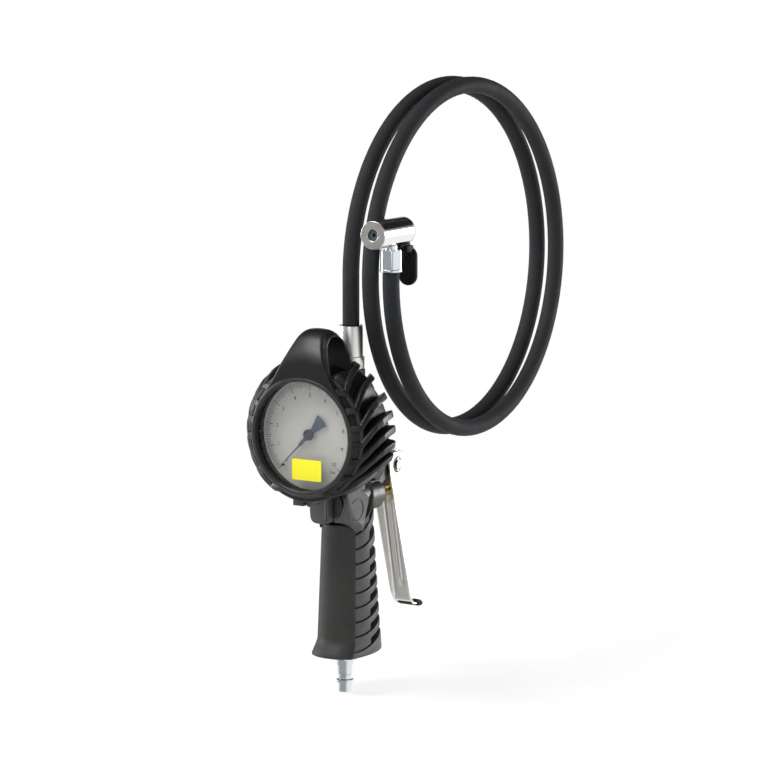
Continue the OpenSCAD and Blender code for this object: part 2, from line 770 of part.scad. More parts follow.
module gauge_boot() {
    color(rubber) difference() {
        union() {
            difference() {
                union() {
                    turned(groove_profile);
                    intersection() {
                        turned(rib_profile);
                        translate([0, 0, gauge_z]) for (k = [0:boot_rib_count - 1])
                            across(60) polygon(boot_rib(k));
                    }
                }
                // the floor of the loop's opening lies close to the case
                difference() {
                    across(60) loop_hole();
                    along_y(-60, 0, gauge_z) cylinder(h = 60, r = case_r + 2);
                }
            }
            intersection() {
                across(40) difference() {
                    loop_outline();
                    loop_hole();
                }
                facing(0, 0, 0) linear_extrude(80) polygon(loop_front);
            }
        }
        // opening in front of the dial, room for the case and for its connection
        along_y(boot_front - 1, 0, gauge_z) cylinder(h = 20, r = boot_open_r);
        along_y(bezel_y - seat_gap, 0, gauge_z)
            cylinder(h = case_back - bezel_y + 2 * seat_gap, r = case_r + seat_gap);
        along_y(-20, 0, gauge_z) cylinder(h = 20, r = 10.5);
        // room for the valve body below
        translate([-notch_half, cap_front - 1, gauge_z - 80])
            cube([2 * notch_half, 40, 80 - case_r + 4]);
    }
}

// ================= gauge =================
skirt_t = 0.8;
skirt_h = 9;
glass_edge = 0.9;
tab_r = 1.6;
skirt_y = bezel_y + skirt_h;
glass_r = case_r - skirt_t - glass_edge;
shoulder_y = -dial_y + plate_t;
back_t = 1;
module gauge_case() {
    color(dark) difference() {
        union() {
            along_y(skirt_y, 0, gauge_z) cylinder(h = case_back - skirt_y, r = case_r);
            along_y(window_y, 0, gauge_z) cylinder(h = case_back - window_y, r = case_r - skirt_t - eps);
        }
        along_y(window_y - 1, 0, gauge_z) cylinder(h = shoulder_y - window_y + 1, r = glass_r + eps);
        along_y(-dial_y, 0, gauge_z) cylinder(h = case_depth - back_t, r = case_r - 3);
        along_y(-20, 0, gauge_z) cylinder(h = 20, r = port_r + seat_gap);
    }
}

module bezel_ring() {
    color(dark) {
        ring_y(bezel_y, window_y, case_r, dial_view_r, 0, gauge_z);
        ring_y(window_y - eps, skirt_y, case_r, case_r - skirt_t, 0, gauge_z);
        // stop tab at the left edge of the view
        along_y(window_y - tab_r, -dial_view_r, gauge_z + bezel_t) cylinder(h = tab_r, r = tab_r);
    }
}

module window() {
    color("#dfe8ea", 0.35) along_y(window_y, 0, gauge_z) cylinder(h = window_t, r = glass_r);
}

module spacer_ring() {
    color(dark) ring_y(window_y + window_t, -dial_y, glass_r, dial_view_r, 0, gauge_z);
}

// The scale runs clockwise over 270 degrees from lower left
zero_a = 225;
stop_r = needle_l - 1.5;
stop_a = zero_a + 1.9;
stop_x = stop_r * cos(stop_a);
stop_z = gauge_z + stop_r * sin(stop_a);
module dial_plate() {
    color("#c4c3be") difference() {
        along_y(-dial_y, 0, gauge_z) cylinder(h = plate_t, r = glass_r);
        along_y(-dial_y - 1, 0, gauge_z) cylinder(h = 3, r = 2.2);
        along_y(-dial_y - 1, stop_x, stop_z) cylinder(h = 3, r = 0.6, $fn = 24);
    }
}

label_t = 0.2;
label_z = gauge_z - dial_view_r + label_up;
module dial_label() {
    color("#f4ec3a") facing(window_y, 1, label_z) linear_extrude(label_t) hull()
        for (x = [1 - label_w / 2, label_w / 2 - 1], y = [1 - label_h / 2, label_h / 2 - 1])
            translate([x, y]) circle(r = 1, $fn = 16);
}

pointer_y = -dial_y - 1.5;
arbor_r = 0.7;
pointer_hole_r = 0.8;
module pointer() {
    color("#3d4650") facing(pointer_y) difference() {
        union() {
            cylinder(h = 1.4, r = 3.2);
            rotate(zero_a) linear_extrude(0.5) {
                polygon([[0, -1.3], [11, -1.3], [11.5, -0.5], [needle_l, -0.2], [needle_l, 0.2],
                    [11.5, 0.5], [11, 1.3], [0, 1.3]]);
                polygon([[0, -1.8], [-5, -1.9], [-15, -5], [-16, 0], [-15, 5], [-5, 1.9], [0, 1.8]]);
            }
        }
        translate([0, 0, -1]) cylinder(h = 4, r = pointer_hole_r, $fn = 24);
    }
}

module zero_pin() {
    color(steel) along_y(-dial_y - 2.4, stop_x, stop_z) cylinder(h = 2.4 + plate_t, r = 0.6 - eps, $fn = 24);
}

// ---- movement ----
gear_module = 0.4;
pinion_teeth = 10;
sector_teeth = 60;
swing = 45;
pinion_pr = gear_module * pinion_teeth / 2;
sector_pr = gear_module * sector_teeth / 2;
// Direction from the pointer's axis to the sector's axis, and back
mesh_a = 300;
sector_x = (pinion_pr + sector_pr) * cos(mesh_a);
sector_z = gauge_z + (pinion_pr + sector_pr) * sin(mesh_a);
gear_y = -31.4;
gear_t = 1.2;
plate_front_y = -36;
plate_back_y = -27.5;

// One tooth about the +X direction, thinned for backlash
function tooth(pr, thin) = let (m = gear_module, w = PI * m / 4 - thin)
    [[pr - 1.3 * m, -1.3 * w], [pr, -w], [pr + 0.75 * m, -0.5 * w], [pr + 0.75 * m, 0.5 * w],
    [pr, w], [pr - 1.3 * m, 1.3 * w]];

module pointer_arbor() {
    color(steel) {
        facing(plate_back_y + 0.3) cylinder(h = plate_back_y - plate_front_y + 2, r = arbor_r, $fn = 24);
        facing(plate_front_y - 1.2)
            cylinder(h = plate_front_y + 0.2 - pointer_y, r = pointer_hole_r - eps, $fn = 24);
        facing(gear_y + 0.6) linear_extrude(gear_t + 1.2) {
            circle(r = pinion_pr - 1.2 * gear_module, $fn = 32);
            for (k = [0:pinion_teeth - 1]) rotate(mesh_a + 360 / pinion_teeth * k)
                polygon(tooth(pinion_pr, 0.05));
        }
    }
}

tail_l = 5;
tail_a = 270 - swing / 2;
tail_x = sector_x + tail_l * cos(tail_a);
tail_z = sector_z + tail_l * sin(tail_a);
link_pin_r = 0.5;
module sector_gear() {
    mid_a = mesh_a - 180 - swing / 2;
    color(brass) {
        facing(gear_y, sector_x, sector_z) linear_extrude(gear_t) {
            intersection() {
                difference() {
                    circle(r = sector_pr - 1.2 * gear_module);
                    circle(r = sector_pr - 2.8);
                }
                rotate(mid_a) polygon([[0, 0], [20, -11.5], [20, 11.5]]);
            }
            for (k = [0:9]) rotate(mesh_a - 177 - 360 / sector_teeth * k) polygon(tooth(sector_pr, 0.05));
            for (s = [-24, 24]) rotate(mid_a + s) translate([0, -0.8]) square([sector_pr - 1, 1.6]);
            circle(r = 2.2, $fn = 32);
            rotate(tail_a) translate([0, -1.1]) square([tail_l, 2.2]);
            rotate(tail_a) translate([tail_l, 0]) circle(r = 1.1, $fn = 32);
        }
        facing(plate_back_y + 0.3, sector_x, sector_z)
            cylinder(h = plate_back_y - plate_front_y + 1.3, r = arbor_r, $fn = 24);
        facing(gear_y + 1.3, tail_x, tail_z) cylinder(h = 1.4, r = link_pin_r, $fn = 24);
    }
}

link_y = gear_y + move_gap + 0.9;
bracket_a = -34;
link_end_x = bourdon_r * cos(bracket_a);
module link() {
    color(steel) facing(link_y, 0, tail_z) linear_extrude(0.9) difference() {
        union() {
            translate([tail_x, 0]) circle(r = 1.4, $fn = 32);
            translate([tail_x, -0.7]) square([link_end_x - tail_x, 1.4]);
            translate([link_end_x, 0]) circle(r = 1.4, $fn = 32);
        }
        translate([tail_x, 0]) circle(r = link_pin_r + run_gap, $fn = 24);
        translate([link_end_x, 0]) circle(r = link_pin_r + run_gap, $fn = 24);
    }
}

frame_posts = [[9, 3], [-9, -4], [-4, -19]];
frame_t = 1;
module frame_outline() {
    hull() for (p = concat(frame_posts, [[sector_x + 2, sector_z - gauge_z - 3]]))
        translate(p) circle(r = 2.5, $fn = hull_fn);
}

module movement_frame() {
    color(brass) difference() {
        union() {
            for (y = [plate_front_y, plate_back_y]) facing(y) linear_extrude(frame_t) frame_outline();
            for (p = frame_posts) facing(plate_back_y - 0.5, p[0], gauge_z + p[1])
                cylinder(h = plate_back_y - plate_front_y - 0.5, r = 1.5, $fn = 32);
        }
        facing(plate_back_y + 2) cylinder(h = 14, r = arbor_r + run_gap, $fn = 24);
        facing(plate_back_y + 2, sector_x, sector_z) cylinder(h = 14, r = arbor_r + run_gap, $fn = 24);
    }
}

hairspring_wire = 0.12;
module hairspring() {
    turns = 5;
    path = [for (i = [0:8 * turns]) let (r = arbor_r + 0.4 + 0.5 * i / 8)
        [r * cos(45 * i), plate_back_y - frame_t - 0.5, gauge_z + r * sin(45 * i)]];
    color(steel) tube(path, hairspring_wire, 6, [0, 1, 0]);
}

// ---- Bourdon tube and its socket ----
tube_front = -26;
tube_w = 8;
tube_t = 3.2;
root_a = 262;
module tube_form() {
    facing(tube_front + tube_w) rotate(bracket_a) rotate_extrude(angle = root_a - bracket_a)
        translate([bourdon_r - tube_t / 2, 0]) square([tube_t, tube_w]);
}

bracket_front = link_y + move_gap;
module bourdon_tube() {
    color(brass) union() {
        tube_form();
        // closing piece at the free end, with an ear under the link
        facing(tube_front + tube_w - 1) rotate(bracket_a)
            translate([bourdon_r - tube_t / 2, -2.4, 0])
                cube([tube_t, 2.6, tube_front + tube_w - 1 - bracket_front]);
    }
}

block_half = 6;
block_y = plate_back_y;
collar_af = 17;
module gauge_socket() {
    color(brass) difference() {
        union() {
            translate([-block_half, block_y, gauge_z - bourdon_r - tube_t / 2 - 1])
                cube([2 * block_half, case_back - back_t - block_y,
                    bourdon_r + tube_t / 2 + 1 + block_half]);
            along_y(block_y + 1, 0, gauge_z)
                cylinder(h = port_face + port_l - 1 - block_y, r = port_r - eps);
            along_y(case_back, 0, gauge_z)
                cylinder(h = port_face - seal_t - case_back, d = collar_af / cos(30), $fn = 6);
        }
        tube_form();
        along_y(block_y + 3, 0, gauge_z) cylinder(h = far, r = 2);
        translate([0, -22, gauge_z - bourdon_r]) cylinder(h = bourdon_r, r = 1.2);
        facing(block_y + 1.5) cylinder(h = 3, r = arbor_r + 0.5, $fn = 24);
        facing(block_y + 1.5, sector_x, sector_z) cylinder(h = 3, r = arbor_r + 0.5, $fn = 24);
    }
}

module socket_seal() {
    color(dark) ring_y(port_face - seal_t, port_face, collar_af / 2, port_r + seat_gap, 0, gauge_z);
}

// ================= hose =================
collar_r = 9.5;
collar_l = 8;
collar_z = column_top + seal_t;
ferrule_low = collar_z + collar_l;
ferrule_top = ferrule_low + ferrule_l;
lead_low = ferrule_top - 4;
barb_r = hose_bore / 2;
module hose_stem() {
    color(steel) translate([0, column_y, 0]) difference() {
        union() {
            translate([0, 0, collar_z - hose_port_l + 1]) cylinder(h = hose_port_l, r = port_r - eps);
            translate([0, 0, collar_z]) cylinder(h = collar_l, r = collar_r);
            translate([0, 0, collar_z]) cylinder(h = lead_low - collar_z, r = barb_r - eps);
        }
        translate([0, 0, column_top - far / 2]) cylinder(h = far, r = barb_r - 1);
    }
}

module stem_seal() {
    color(dark) translate([0, column_y, column_top]) difference() {
        cylinder(h = seal_t, r = collar_r - 0.6);
        translate([0, 0, -1]) cylinder(h = seal_t + 2, r = port_r + seat_gap);
    }
}

ferrule_floor = 0.8;
ferrule_mouth = 3.5;
module hose_ferrule() {
    color(steel) translate([0, column_y, ferrule_low]) difference() {
        cylinder(h = ferrule_top - ferrule_low, r = ferrule_r);
        translate([0, 0, -1]) cylinder(h = 4, r = barb_r + seat_gap);
        translate([0, 0, ferrule_floor]) cylinder(h = far, r = hose_d / 2 + seat_gap);
        translate([0, 0, ferrule_top - ferrule_low - ferrule_mouth]) cylinder(h = far, r = ferrule_r - 0.8);
    }
}

// Centre line of the coil: it climbs along +X and draws out to the chuck's axis at its end
straight = hose_d;
chuck_shift = 0.8;
coil_steps = 24;
chuck_x = coil_pitch * coil_turns + chuck_shift;
function coil_point(a) = [coil_pitch * a / 360 + chuck_shift * ease((a - 360 * coil_turns + 80) / 60),
    column_y + coil_r * (1 - cos(a)), coil_z + coil_r * sin(a)];
coil_path = concat([[0, column_y, coil_z - straight]],
    [for (i = [0:coil_steps * coil_turns - 1]) coil_point(360 * i / coil_steps)],
    [[chuck_x, column_y, coil_z - straight], [chuck_x, column_y, coil_z]]);

// Least gap between stretches of the coil that lie half a turn or more apart
coil_gap = min([for (i = [0:len(coil_path) - 1], j = [0:len(coil_path) - 1])
    if (j > i + coil_steps / 2) norm(coil_path[j] - coil_path[i])]) - hose_d;
echo(coil_least_gap = coil_gap);

module hose_coil() {
    color(hose_black) tube(coil_path, hose_d / 2, 6, [1, 0, 0]);
}

// Straight run of the hose from the stem to the coil
lead_path = [[0, column_y, lead_low], [0, column_y, mix(lead_low, coil_z - straight, 0.5)],
    [0, column_y, coil_z - straight]];
module hose_lead() {
    color(hose_black) tube(lead_path, hose_d / 2, 12, [1, 0, 0]);
}

// Ends of the hose, pushed over the barbs
nut_bore_r = 5.9;
tail_barb_r = 2.7;
tail_collar = 2.5;
nut_roof = 3;
nut_in = nut_h - nut_roof - tail_collar;
module hose_root() {
    color(hose_black) translate([0, column_y, ferrule_low + ferrule_floor]) difference() {
        cylinder(h = lead_low - ferrule_low - ferrule_floor, r = hose_d / 2);
        translate([0, 0, -1]) cylinder(h = far, r = barb_r);
    }
}

module hose_tip() {
    color(hose_black) translate([chuck_x, column_y, coil_z]) difference() {
        cylinder(h = nut_in, r = nut_bore_r - seat_gap);
        translate([0, 0, -1]) cylinder(h = far, r = tail_barb_r + eps);
    }
}

// ================= chuck =================
neck_r = 4.5;
neck_h = 2;
chuck_z = coil_z + nut_h + neck_h + chuck_r;
module chuck_nut() {
    color(zinc) translate([chuck_x, column_y, coil_z]) difference() {
        union() {
            cylinder(h = 2.4, r = 7.8);
            cylinder(h = nut_h, d = nut_af / cos(30), $fn = 6);
        }
        translate([0, 0, -1]) cylinder(h = nut_h - nut_roof + 1, r = nut_bore_r);
        cylinder(h = far, r = neck_r + seat_gap);
    }
}

tail_in = 3;
module chuck_tail() {
    color(zinc) translate([chuck_x, column_y, coil_z]) difference() {
        union() {
            cylinder(h = nut_in + 1, r = tail_barb_r);
            translate([0, 0, nut_in]) cylinder(h = tail_collar, r = nut_bore_r - seat_gap);
            translate([0, 0, nut_in]) cylinder(h = nut_h + neck_h + tail_in - nut_in, r = neck_r);
        }
        translate([0, 0, -1]) cylinder(h = far, r = 1.5);
    }
}

face_t = 1.2;
face_plug_r = 7;
face_plug_l = 4.8;
face_wall = 3;
piston_r = 6;
chuck_end = chuck_l - chuck_front;
face_y = face_t - chuck_front;
seal_y = face_wall - chuck_front;
seal_l = face_plug_l + face_t - face_wall + 0.5;
seal_r = 5.4;
piston_y = seal_y + seal_l + move_gap;
spring_end = chuck_end - 1.5;
thumb_y = chuck_end - 7;
thumb_z = chuck_z - 8;
thumb_pin_r = 0.9;
thumb_half = 2.3;
thumb_pin_half = 4.2;
module at_chuck(y) {
    along_y(y, chuck_x, chuck_z) children();
}

module chuck_body() {
    l = chuck_end - face_y;
    color(chrome) difference() {
        at_chuck(face_y) rotate_extrude() polygon([[0, 0], [chuck_r, 0], [chuck_r, l - 4],
            [chuck_r - 1.2, l - 1.6], [chuck_r - 3.4, l - 0.4], [chuck_r - 6, l], [0, l]]);
        at_chuck(face_y - 1) cylinder(h = face_plug_l + 1.1, r = face_plug_r + eps);
        at_chuck(face_y) cylinder(h = spring_end - face_y, r = piston_r);
        translate([chuck_x, column_y, chuck_z - chuck_r - 1]) cylinder(h = tail_in + 1, r = neck_r + eps);
        translate([chuck_x, column_y, chuck_z - chuck_r]) cylinder(h = chuck_r, r = 1.5);
        // slot for the thumb lever
        translate([chuck_x - thumb_half - move_gap, thumb_y - 5.3, chuck_z - chuck_r - 1])
            cube([2 * (thumb_half + move_gap), 11, chuck_r + 1 - 4.5]);
        translate([chuck_x, 0, 0]) rod_x(thumb_pin_half + 0.1, thumb_pin_r, thumb_y, thumb_z);
    }
}

module chuck_face() {
    color("#b9b8b1") difference() {
        at_chuck(-chuck_front) union() {
            rotate_extrude() polygon([[0, 0], [chuck_r - 0.4, 0], [chuck_r, 0.4], [chuck_r, face_t],
                [0, face_t]]);
            cylinder(h = face_t + face_plug_l, r = face_plug_r);
        }
        at_chuck(-chuck_front - 1) cylinder(h = far, r = valve_port_r);
        at_chuck(seal_y) cylinder(h = far, r = seal_r + eps);
    }
}

module chuck_seal() {
    color("#4a5860") at_chuck(seal_y) difference() {
        cylinder(h = seal_l, r = seal_r);
        translate([0, 0, -1]) cylinder(h = far, r = 2.4);
    }
}

pin_out = 3;
module core_pin() {
    color(brass) at_chuck(piston_y - pin_out) cylinder(h = pin_out + 4, r = 1);
}

// Sliding piston with a groove for the thumb lever's finger
finger_r = 1;
groove_half = finger_r + move_gap;
waist_y = 0;
rear_head_y = 14;
flange_end = thumb_y + groove_half + 1.2;
spring_seat = rear_head_y + 2;
spring_r = 1.9;
air_hole_at = 4.7;
air_hole_r = 0.7;
module clamp_piston() {
    top_r = piston_r - run_gap;
    color(brass) difference() {
        union() {
            at_chuck(piston_y) cylinder(h = waist_y - piston_y, r = top_r);
            at_chuck(piston_y + 1) cylinder(h = flange_end - piston_y - 1, r = 3.6);
            at_chuck(rear_head_y) cylinder(h = thumb_y - groove_half - rear_head_y, r = top_r);
            at_chuck(thumb_y + groove_half) cylinder(h = flange_end - thumb_y - groove_half, r = 5.2);
        }
        at_chuck(piston_y - 1) cylinder(h = 5, r = 1 + eps);
        for (a = [0:120:240]) at_chuck(piston_y - 1) rotate(a) translate([air_hole_at, 0, 0])
            cylinder(h = waist_y - piston_y + 2, r = air_hole_r, $fn = 24);
        at_chuck(spring_seat) cylinder(h = far, r = 2.6);
    }
}

module clamp_spring() {
    color(zinc) spring_y(spring_seat, spring_end, spring_r, 5, 0.4, chuck_x, chuck_z);
}

hub_r = 1.75;
finger_top = chuck_z - 3.6 - move_gap;
paddle_y = chuck_end + 2.5;
paddle_z = coil_z + 3;
paddle_t = 4.3;
module thumb_lever() {
    color(dark) translate([chuck_x, 0, 0]) difference() {
        union() {
            across(thumb_half) {
                polygon([[thumb_y - 0.7, thumb_z], [thumb_y - 0.7, finger_top - finger_r - 0.8],
                    [thumb_y + 0.7, finger_top - finger_r - 0.8], [thumb_y + 0.7, thumb_z]]);
                translate([thumb_y, finger_top - finger_r]) circle(r = finger_r, $fn = 32);
                translate([thumb_y, thumb_z]) circle(r = hub_r);
                polygon([[thumb_y - 3.6, thumb_z - 2], [thumb_y, thumb_z - 1],
                    [chuck_end - 2, thumb_z - 2.1], [chuck_end + 1.5, thumb_z - 3],
                    [chuck_end + 2.5, paddle_z + 8], [chuck_end + 1, paddle_z + 5],
                    [chuck_end - 1.2, thumb_z - 8], [thumb_y + 2, thumb_z - 5],
                    [thumb_y - 3, thumb_z - 3.4]]);
            }
            // paddle with round ends
            along_y(paddle_y - paddle_t / 2, 0, paddle_z) linear_extrude(paddle_t) hull()
                for (s = [-1, 1]) translate([0, s * (paddle_h - paddle_w) / 2])
                    circle(r = paddle_w / 2, $fn = hull_fn);
        }
        rod_x(10, thumb_pin_r + run_gap, thumb_y, thumb_z);
    }
}

module thumb_pin() {
    color(zinc) translate([chuck_x, 0, 0]) rod_x(thumb_pin_half, thumb_pin_r - eps, thumb_y, thumb_z);
}

inlet_plug();
plug_seal();
inlet_strainer();
valve_body();
valve_cap();
cap_ring();
poppet_spring();
valve_poppet();
poppet_disc();
plunger();
plunger_ring();
plunger_guide();
lever();
lever_tip();
lever_pin();
retaining_clips();
grip_front();
grip_rear();
grip_screws();
gauge_boot();
gauge_case();
bezel_ring();
window();
spacer_ring();
dial_plate();
dial_label();
pointer();
pointer_arbor();
zero_pin();
hairspring();
movement_frame();
sector_gear();
link();
bourdon_tube();
gauge_socket();
socket_seal();
hose_stem();
stem_seal();
hose_ferrule();
hose_root();
hose_lead();
hose_coil();
hose_tip();
chuck_nut();
chuck_tail();
chuck_body();
chuck_face();
chuck_seal();
core_pin();
clamp_piston();
clamp_spring();
thumb_lever();
thumb_pin();
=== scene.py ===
"""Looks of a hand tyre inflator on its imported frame.

Shapes are written in millimetres, in the frame of the part: +Z up, the dial facing -Y, the lever
at +Y. Every surface is a formula over two parameters, sampled with numpy.
"""
import math

import bmesh
import bpy
import numpy as np
from mathutils import Matrix


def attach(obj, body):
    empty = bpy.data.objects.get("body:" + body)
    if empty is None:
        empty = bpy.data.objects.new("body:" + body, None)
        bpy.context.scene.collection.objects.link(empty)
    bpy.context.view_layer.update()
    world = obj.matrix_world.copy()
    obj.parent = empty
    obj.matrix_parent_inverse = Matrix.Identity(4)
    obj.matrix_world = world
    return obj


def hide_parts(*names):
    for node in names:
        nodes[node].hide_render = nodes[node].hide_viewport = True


MM = 0.001
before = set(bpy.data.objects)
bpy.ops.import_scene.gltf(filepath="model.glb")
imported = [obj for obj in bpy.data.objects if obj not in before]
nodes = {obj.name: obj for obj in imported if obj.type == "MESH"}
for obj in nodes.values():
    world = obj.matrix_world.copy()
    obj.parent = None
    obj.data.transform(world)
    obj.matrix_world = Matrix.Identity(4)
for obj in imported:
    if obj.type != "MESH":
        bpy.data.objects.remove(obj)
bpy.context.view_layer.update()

# ---- camera ----
SENSOR_MM, FOCAL_PX, FRAME_PX = 36, 3687, 768
RIGHT, UP, BACK = (0.8474, 0.5310, 0.0), (-0.0766, 0.1222, 0.9896), (0.5255, -0.8386, 0.1442)
CAMERA_PLACE = (1.3794, -2.1492, 0.5915)
cam_data = bpy.data.cameras.new("camera")
cam_data.sensor_width = SENSOR_MM
cam_data.lens = SENSOR_MM * FOCAL_PX / FRAME_PX
cam_data.clip_end = 20
camera = bpy.data.objects.new("camera", cam_data)
bpy.context.scene.collection.objects.link(camera)
look = Matrix.Identity(4)
for row in range(3):
    look[row][0], look[row][1], look[row][2] = RIGHT[row], UP[row], BACK[row]
    look[row][3] = CAMERA_PLACE[row]
camera.matrix_world = look
bpy.context.scene.camera = camera
bpy.context.scene.view_settings.view_transform = "Standard"


# ---- materials ----
class Nodes:
    """Shorthand for one material's node tree."""

    def __init__(self, name):
        self.mat = bpy.data.materials.new(name)
        self.mat.use_nodes = True
        self.tree = self.mat.node_tree
        self.shader = self.tree.nodes["Principled BSDF"]
        self.place = self.tree.nodes.new("ShaderNodeTexCoord").outputs["Object"]

    def add(self, kind, inputs=(), **facts):
        node = self.tree.nodes.new(kind)
        for key, value in facts.items():
            setattr(node, key, value)
        for key, value in dict(inputs).items():
            if isinstance(value, bpy.types.NodeSocket):
                self.tree.links.new(value, node.inputs[key])
            else:
                node.inputs[key].default_value = value
        return node

    def noise(self, scale, detail=4.0, rough=0.55, squeeze=(1, 1, 1)):
        mapped = self.add("ShaderNodeMapping", {"Vector": self.place, "Scale": squeeze})
        return self.add(
            "ShaderNodeTexNoise",
            {"Vector": mapped.outputs[0], "Scale": scale, "Detail": detail, "Roughness": rough},
        ).outputs["Fac"]

    def spread(self, value, low, high, start=0.3, end=0.7):
        """Carries value's span start..end to low..high."""
        return self.add(
            "ShaderNodeMapRange",
            {"Value": value, "From Min": start, "From Max": end, "To Min": low, "To Max": high},
        ).outputs["Result"]

    def mix(self, factor, first, second):
        node = self.add("ShaderNodeMix", data_type="RGBA")
        self.link(factor, node.inputs["Factor"])
        for index, colour in ((6, first), (7, second)):
            if isinstance(colour, bpy.types.NodeSocket):
                self.tree.links.new(colour, node.inputs[index])
            else:
                node.inputs[index].default_value = (*colour, 1)
        return node.outputs[2]

    def link(self, value, socket):
        self.tree.links.new(value, socket)

    def set(self, key, value):
        if isinstance(value, bpy.types.NodeSocket):
            self.link(value, self.shader.inputs[key])
        else:
            self.shader.inputs[key].default_value = value

    def bump(self, height, strength, distance, under=None):
        inputs = {"Height": height, "Strength": strength, "Distance": distance}
        if under is not None:
            inputs["Normal"] = under
        return self.add("ShaderNodeBump", inputs).outputs["Normal"]


# Share of the light colour on edges (rubbed wear and painted highlight), share of colour kept under painted
# shade in hollows, its reach in metres
RUBBED_AND_LIT_EDGE, HOLLOW_PAINTED_SHADE, PAINTED_SHADE_REACH = 0.35, 0.15, 0.007


def moulded(name, colour, light, rough, grain=900.0, depth=0.00006, sheen=0.35):
    """A moulded rubber or plastic: fine grain, faint cloudy tone, rubbed edges with a painted highlight,
    painted shade in hollows.
    """
    m = Nodes(name)
    clouds = m.noise(28.0)
    fine = m.noise(grain, 2.0)
    # painted highlight, partly rubbed wear: sharp edges (pointiness) turn toward the light colour
    worn_and_lit_edges = m.add("ShaderNodeNewGeometry").outputs["Pointiness"]
    base = m.mix(m.spread(clouds, 0.0, 1.0), colour, [c * 1.25 for c in colour])
    base = m.mix(m.spread(worn_and_lit_edges, 0.0, RUBBED_AND_LIT_EDGE, 0.52, 0.60), base, light)
    # painted shade: in hollows found by ambient occlusion the colour darkens
    open_sky = m.add("ShaderNodeAmbientOcclusion", {"Distance": PAINTED_SHADE_REACH}, samples=6).outputs["AO"]
    base = m.mix(m.spread(open_sky, 0.0, 1.0, 0.2, 0.72), [c * HOLLOW_PAINTED_SHADE for c in colour], base)
    m.set("Base Color", base)
    m.set("Roughness", m.spread(m.noise(60.0), rough - 0.06, rough + 0.07))
    m.set("Normal", m.bump(fine, 0.5, depth, m.bump(clouds, 0.12, 0.0004)))
    # painted shade on the sheen as well: the specular level fades out in hollows
    m.set("Specular IOR Level", m.spread(open_sky, 0.0, sheen, 0.15, 0.62))
    return m.mat


def metal(name, colour, dull, rough, squeeze=(1, 1, 1), scale=120.0, depth=0.00002):
    """A metal with brushed or cast streaks and slight dull patches."""
    m = Nodes(name)
    streaks = m.noise(scale, 6.0, 0.6, squeeze)
    patches = m.noise(22.0)
    m.set("Base Color", m.mix(m.spread(patches, 0.0, 0.6), colour, dull))
    m.set("Metallic", 1.0)
    m.set("Roughness", m.spread(streaks, rough * 0.8, rough * 1.25))
    m.set("Normal", m.bump(streaks, 0.25, depth))
    return m.mat


BOOT = moulded("boot_rubber", (0.009, 0.0089, 0.0086), (0.20, 0.20, 0.195), 0.36, 700.0, 0.00006)
HOSE = moulded("hose_rubber", (0.026, 0.027, 0.029), (0.08, 0.08, 0.08), 0.62, 1300.0, 0.00003, sheen=0.10)
SEAL = moulded("seal_rubber", (0.07, 0.095, 0.105), (0.12, 0.14, 0.15), 0.5)
PANEL = moulded("grip_panel", (0.030, 0.030, 0.0285), (0.09, 0.09, 0.088), 0.50, 1500.0, 0.00005)
SHELL = moulded("grip_ribbed", (0.072, 0.072, 0.070), (0.16, 0.16, 0.155), 0.44, 1200.0, 0.00005)
BLACK = moulded("black_plastic", (0.006, 0.006, 0.0062), (0.03, 0.03, 0.03), 0.50, 1500.0, 0.00002, sheen=0.12)
CAST = metal("cast_metal", (0.115, 0.115, 0.112), (0.08, 0.08, 0.078), 0.42, scale=400.0, depth=0.00008)
STEEL = metal("stainless", (0.93, 0.915, 0.885), (0.86, 0.84, 0.80), 0.36, (1, 1, 0.04), 900.0, 0.000004)
ZINC = metal("zinc_plate", (0.80, 0.85, 0.88), (0.62, 0.69, 0.73), 0.20)
CHROME = metal("chrome_plate", (0.90, 0.90, 0.90), (0.82, 0.82, 0.82), 0.07, depth=0.000004)
NICKEL = metal("satin_nickel", (0.62, 0.61, 0.57), (0.50, 0.49, 0.46), 0.38)
BRASS = metal("brass_part", (1.0, 0.80, 0.36), (0.90, 0.68, 0.28), 0.30)
SPRING = metal("spring_steel", (0.10, 0.10, 0.105), (0.05, 0.05, 0.05), 0.34)


def printed(name, colour, rough, grain=0.0):
    """A printed or painted flat surface with a faint grain."""
    m = Nodes(name)
    clouds = m.noise(40.0)
    m.set("Base Color", m.mix(m.spread(clouds, 0.0, 1.0), colour, [c * 0.94 for c in colour]))
    m.set("Roughness", m.spread(m.noise(300.0), rough - 0.04, rough + 0.04))
    if grain:
        m.set("Normal", m.bump(m.noise(1500.0, 2.0), grain, 0.00002))
    return m.mat


DIAL = printed("dial_face", (0.47, 0.465, 0.44), 0.42, 0.2)
INK = printed("dial_ink", (0.010, 0.010, 0.011), 0.5)
LABEL = printed("yellow_label", (0.97, 0.90, 0.02), 0.42, 0.1)
BLUE = printed("pointer_blue", (0.045, 0.075, 0.115), 0.38, 0.1)
HUB = printed("pointer_hub", (0.02, 0.03, 0.05), 0.3)

glass = Nodes("gauge_glass")
glass.set("Base Color", (0.95, 0.97, 0.97, 1))
glass.set("Roughness", glass.spread(glass.noise(20.0), 0.02, 0.05))
glass.set("Alpha", 0.03)
GLASS = glass.mat


# ---- mesh helpers ----
def add_piece(name, verts, faces, material, body="root", slot=None, smooth=True, sharp=None):
    """Adds one piece from points in millimetres and makes it ride on a body."""
    mesh = bpy.data.meshes.new(name)
    mesh.from_pydata((np.asarray(verts, float) * MM).tolist(), [], faces)
    mesh.update()
    work = bmesh.new()
    work.from_mesh(mesh)
    bmesh.ops.remove_doubles(work, verts=work.verts, dist=1e-7)
    bmesh.ops.recalc_face_normals(work, faces=work.faces)
    work.to_mesh(mesh)
    work.free()
    mesh.materials.append(material)
    piece = bpy.data.objects.new(name, mesh)
    bpy.context.scene.collection.objects.link(piece)
    if smooth:
        mesh.shade_smooth()
        if sharp:
            mesh.set_sharp_from_angle(angle=math.radians(sharp))
    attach(piece, body)
    return piece


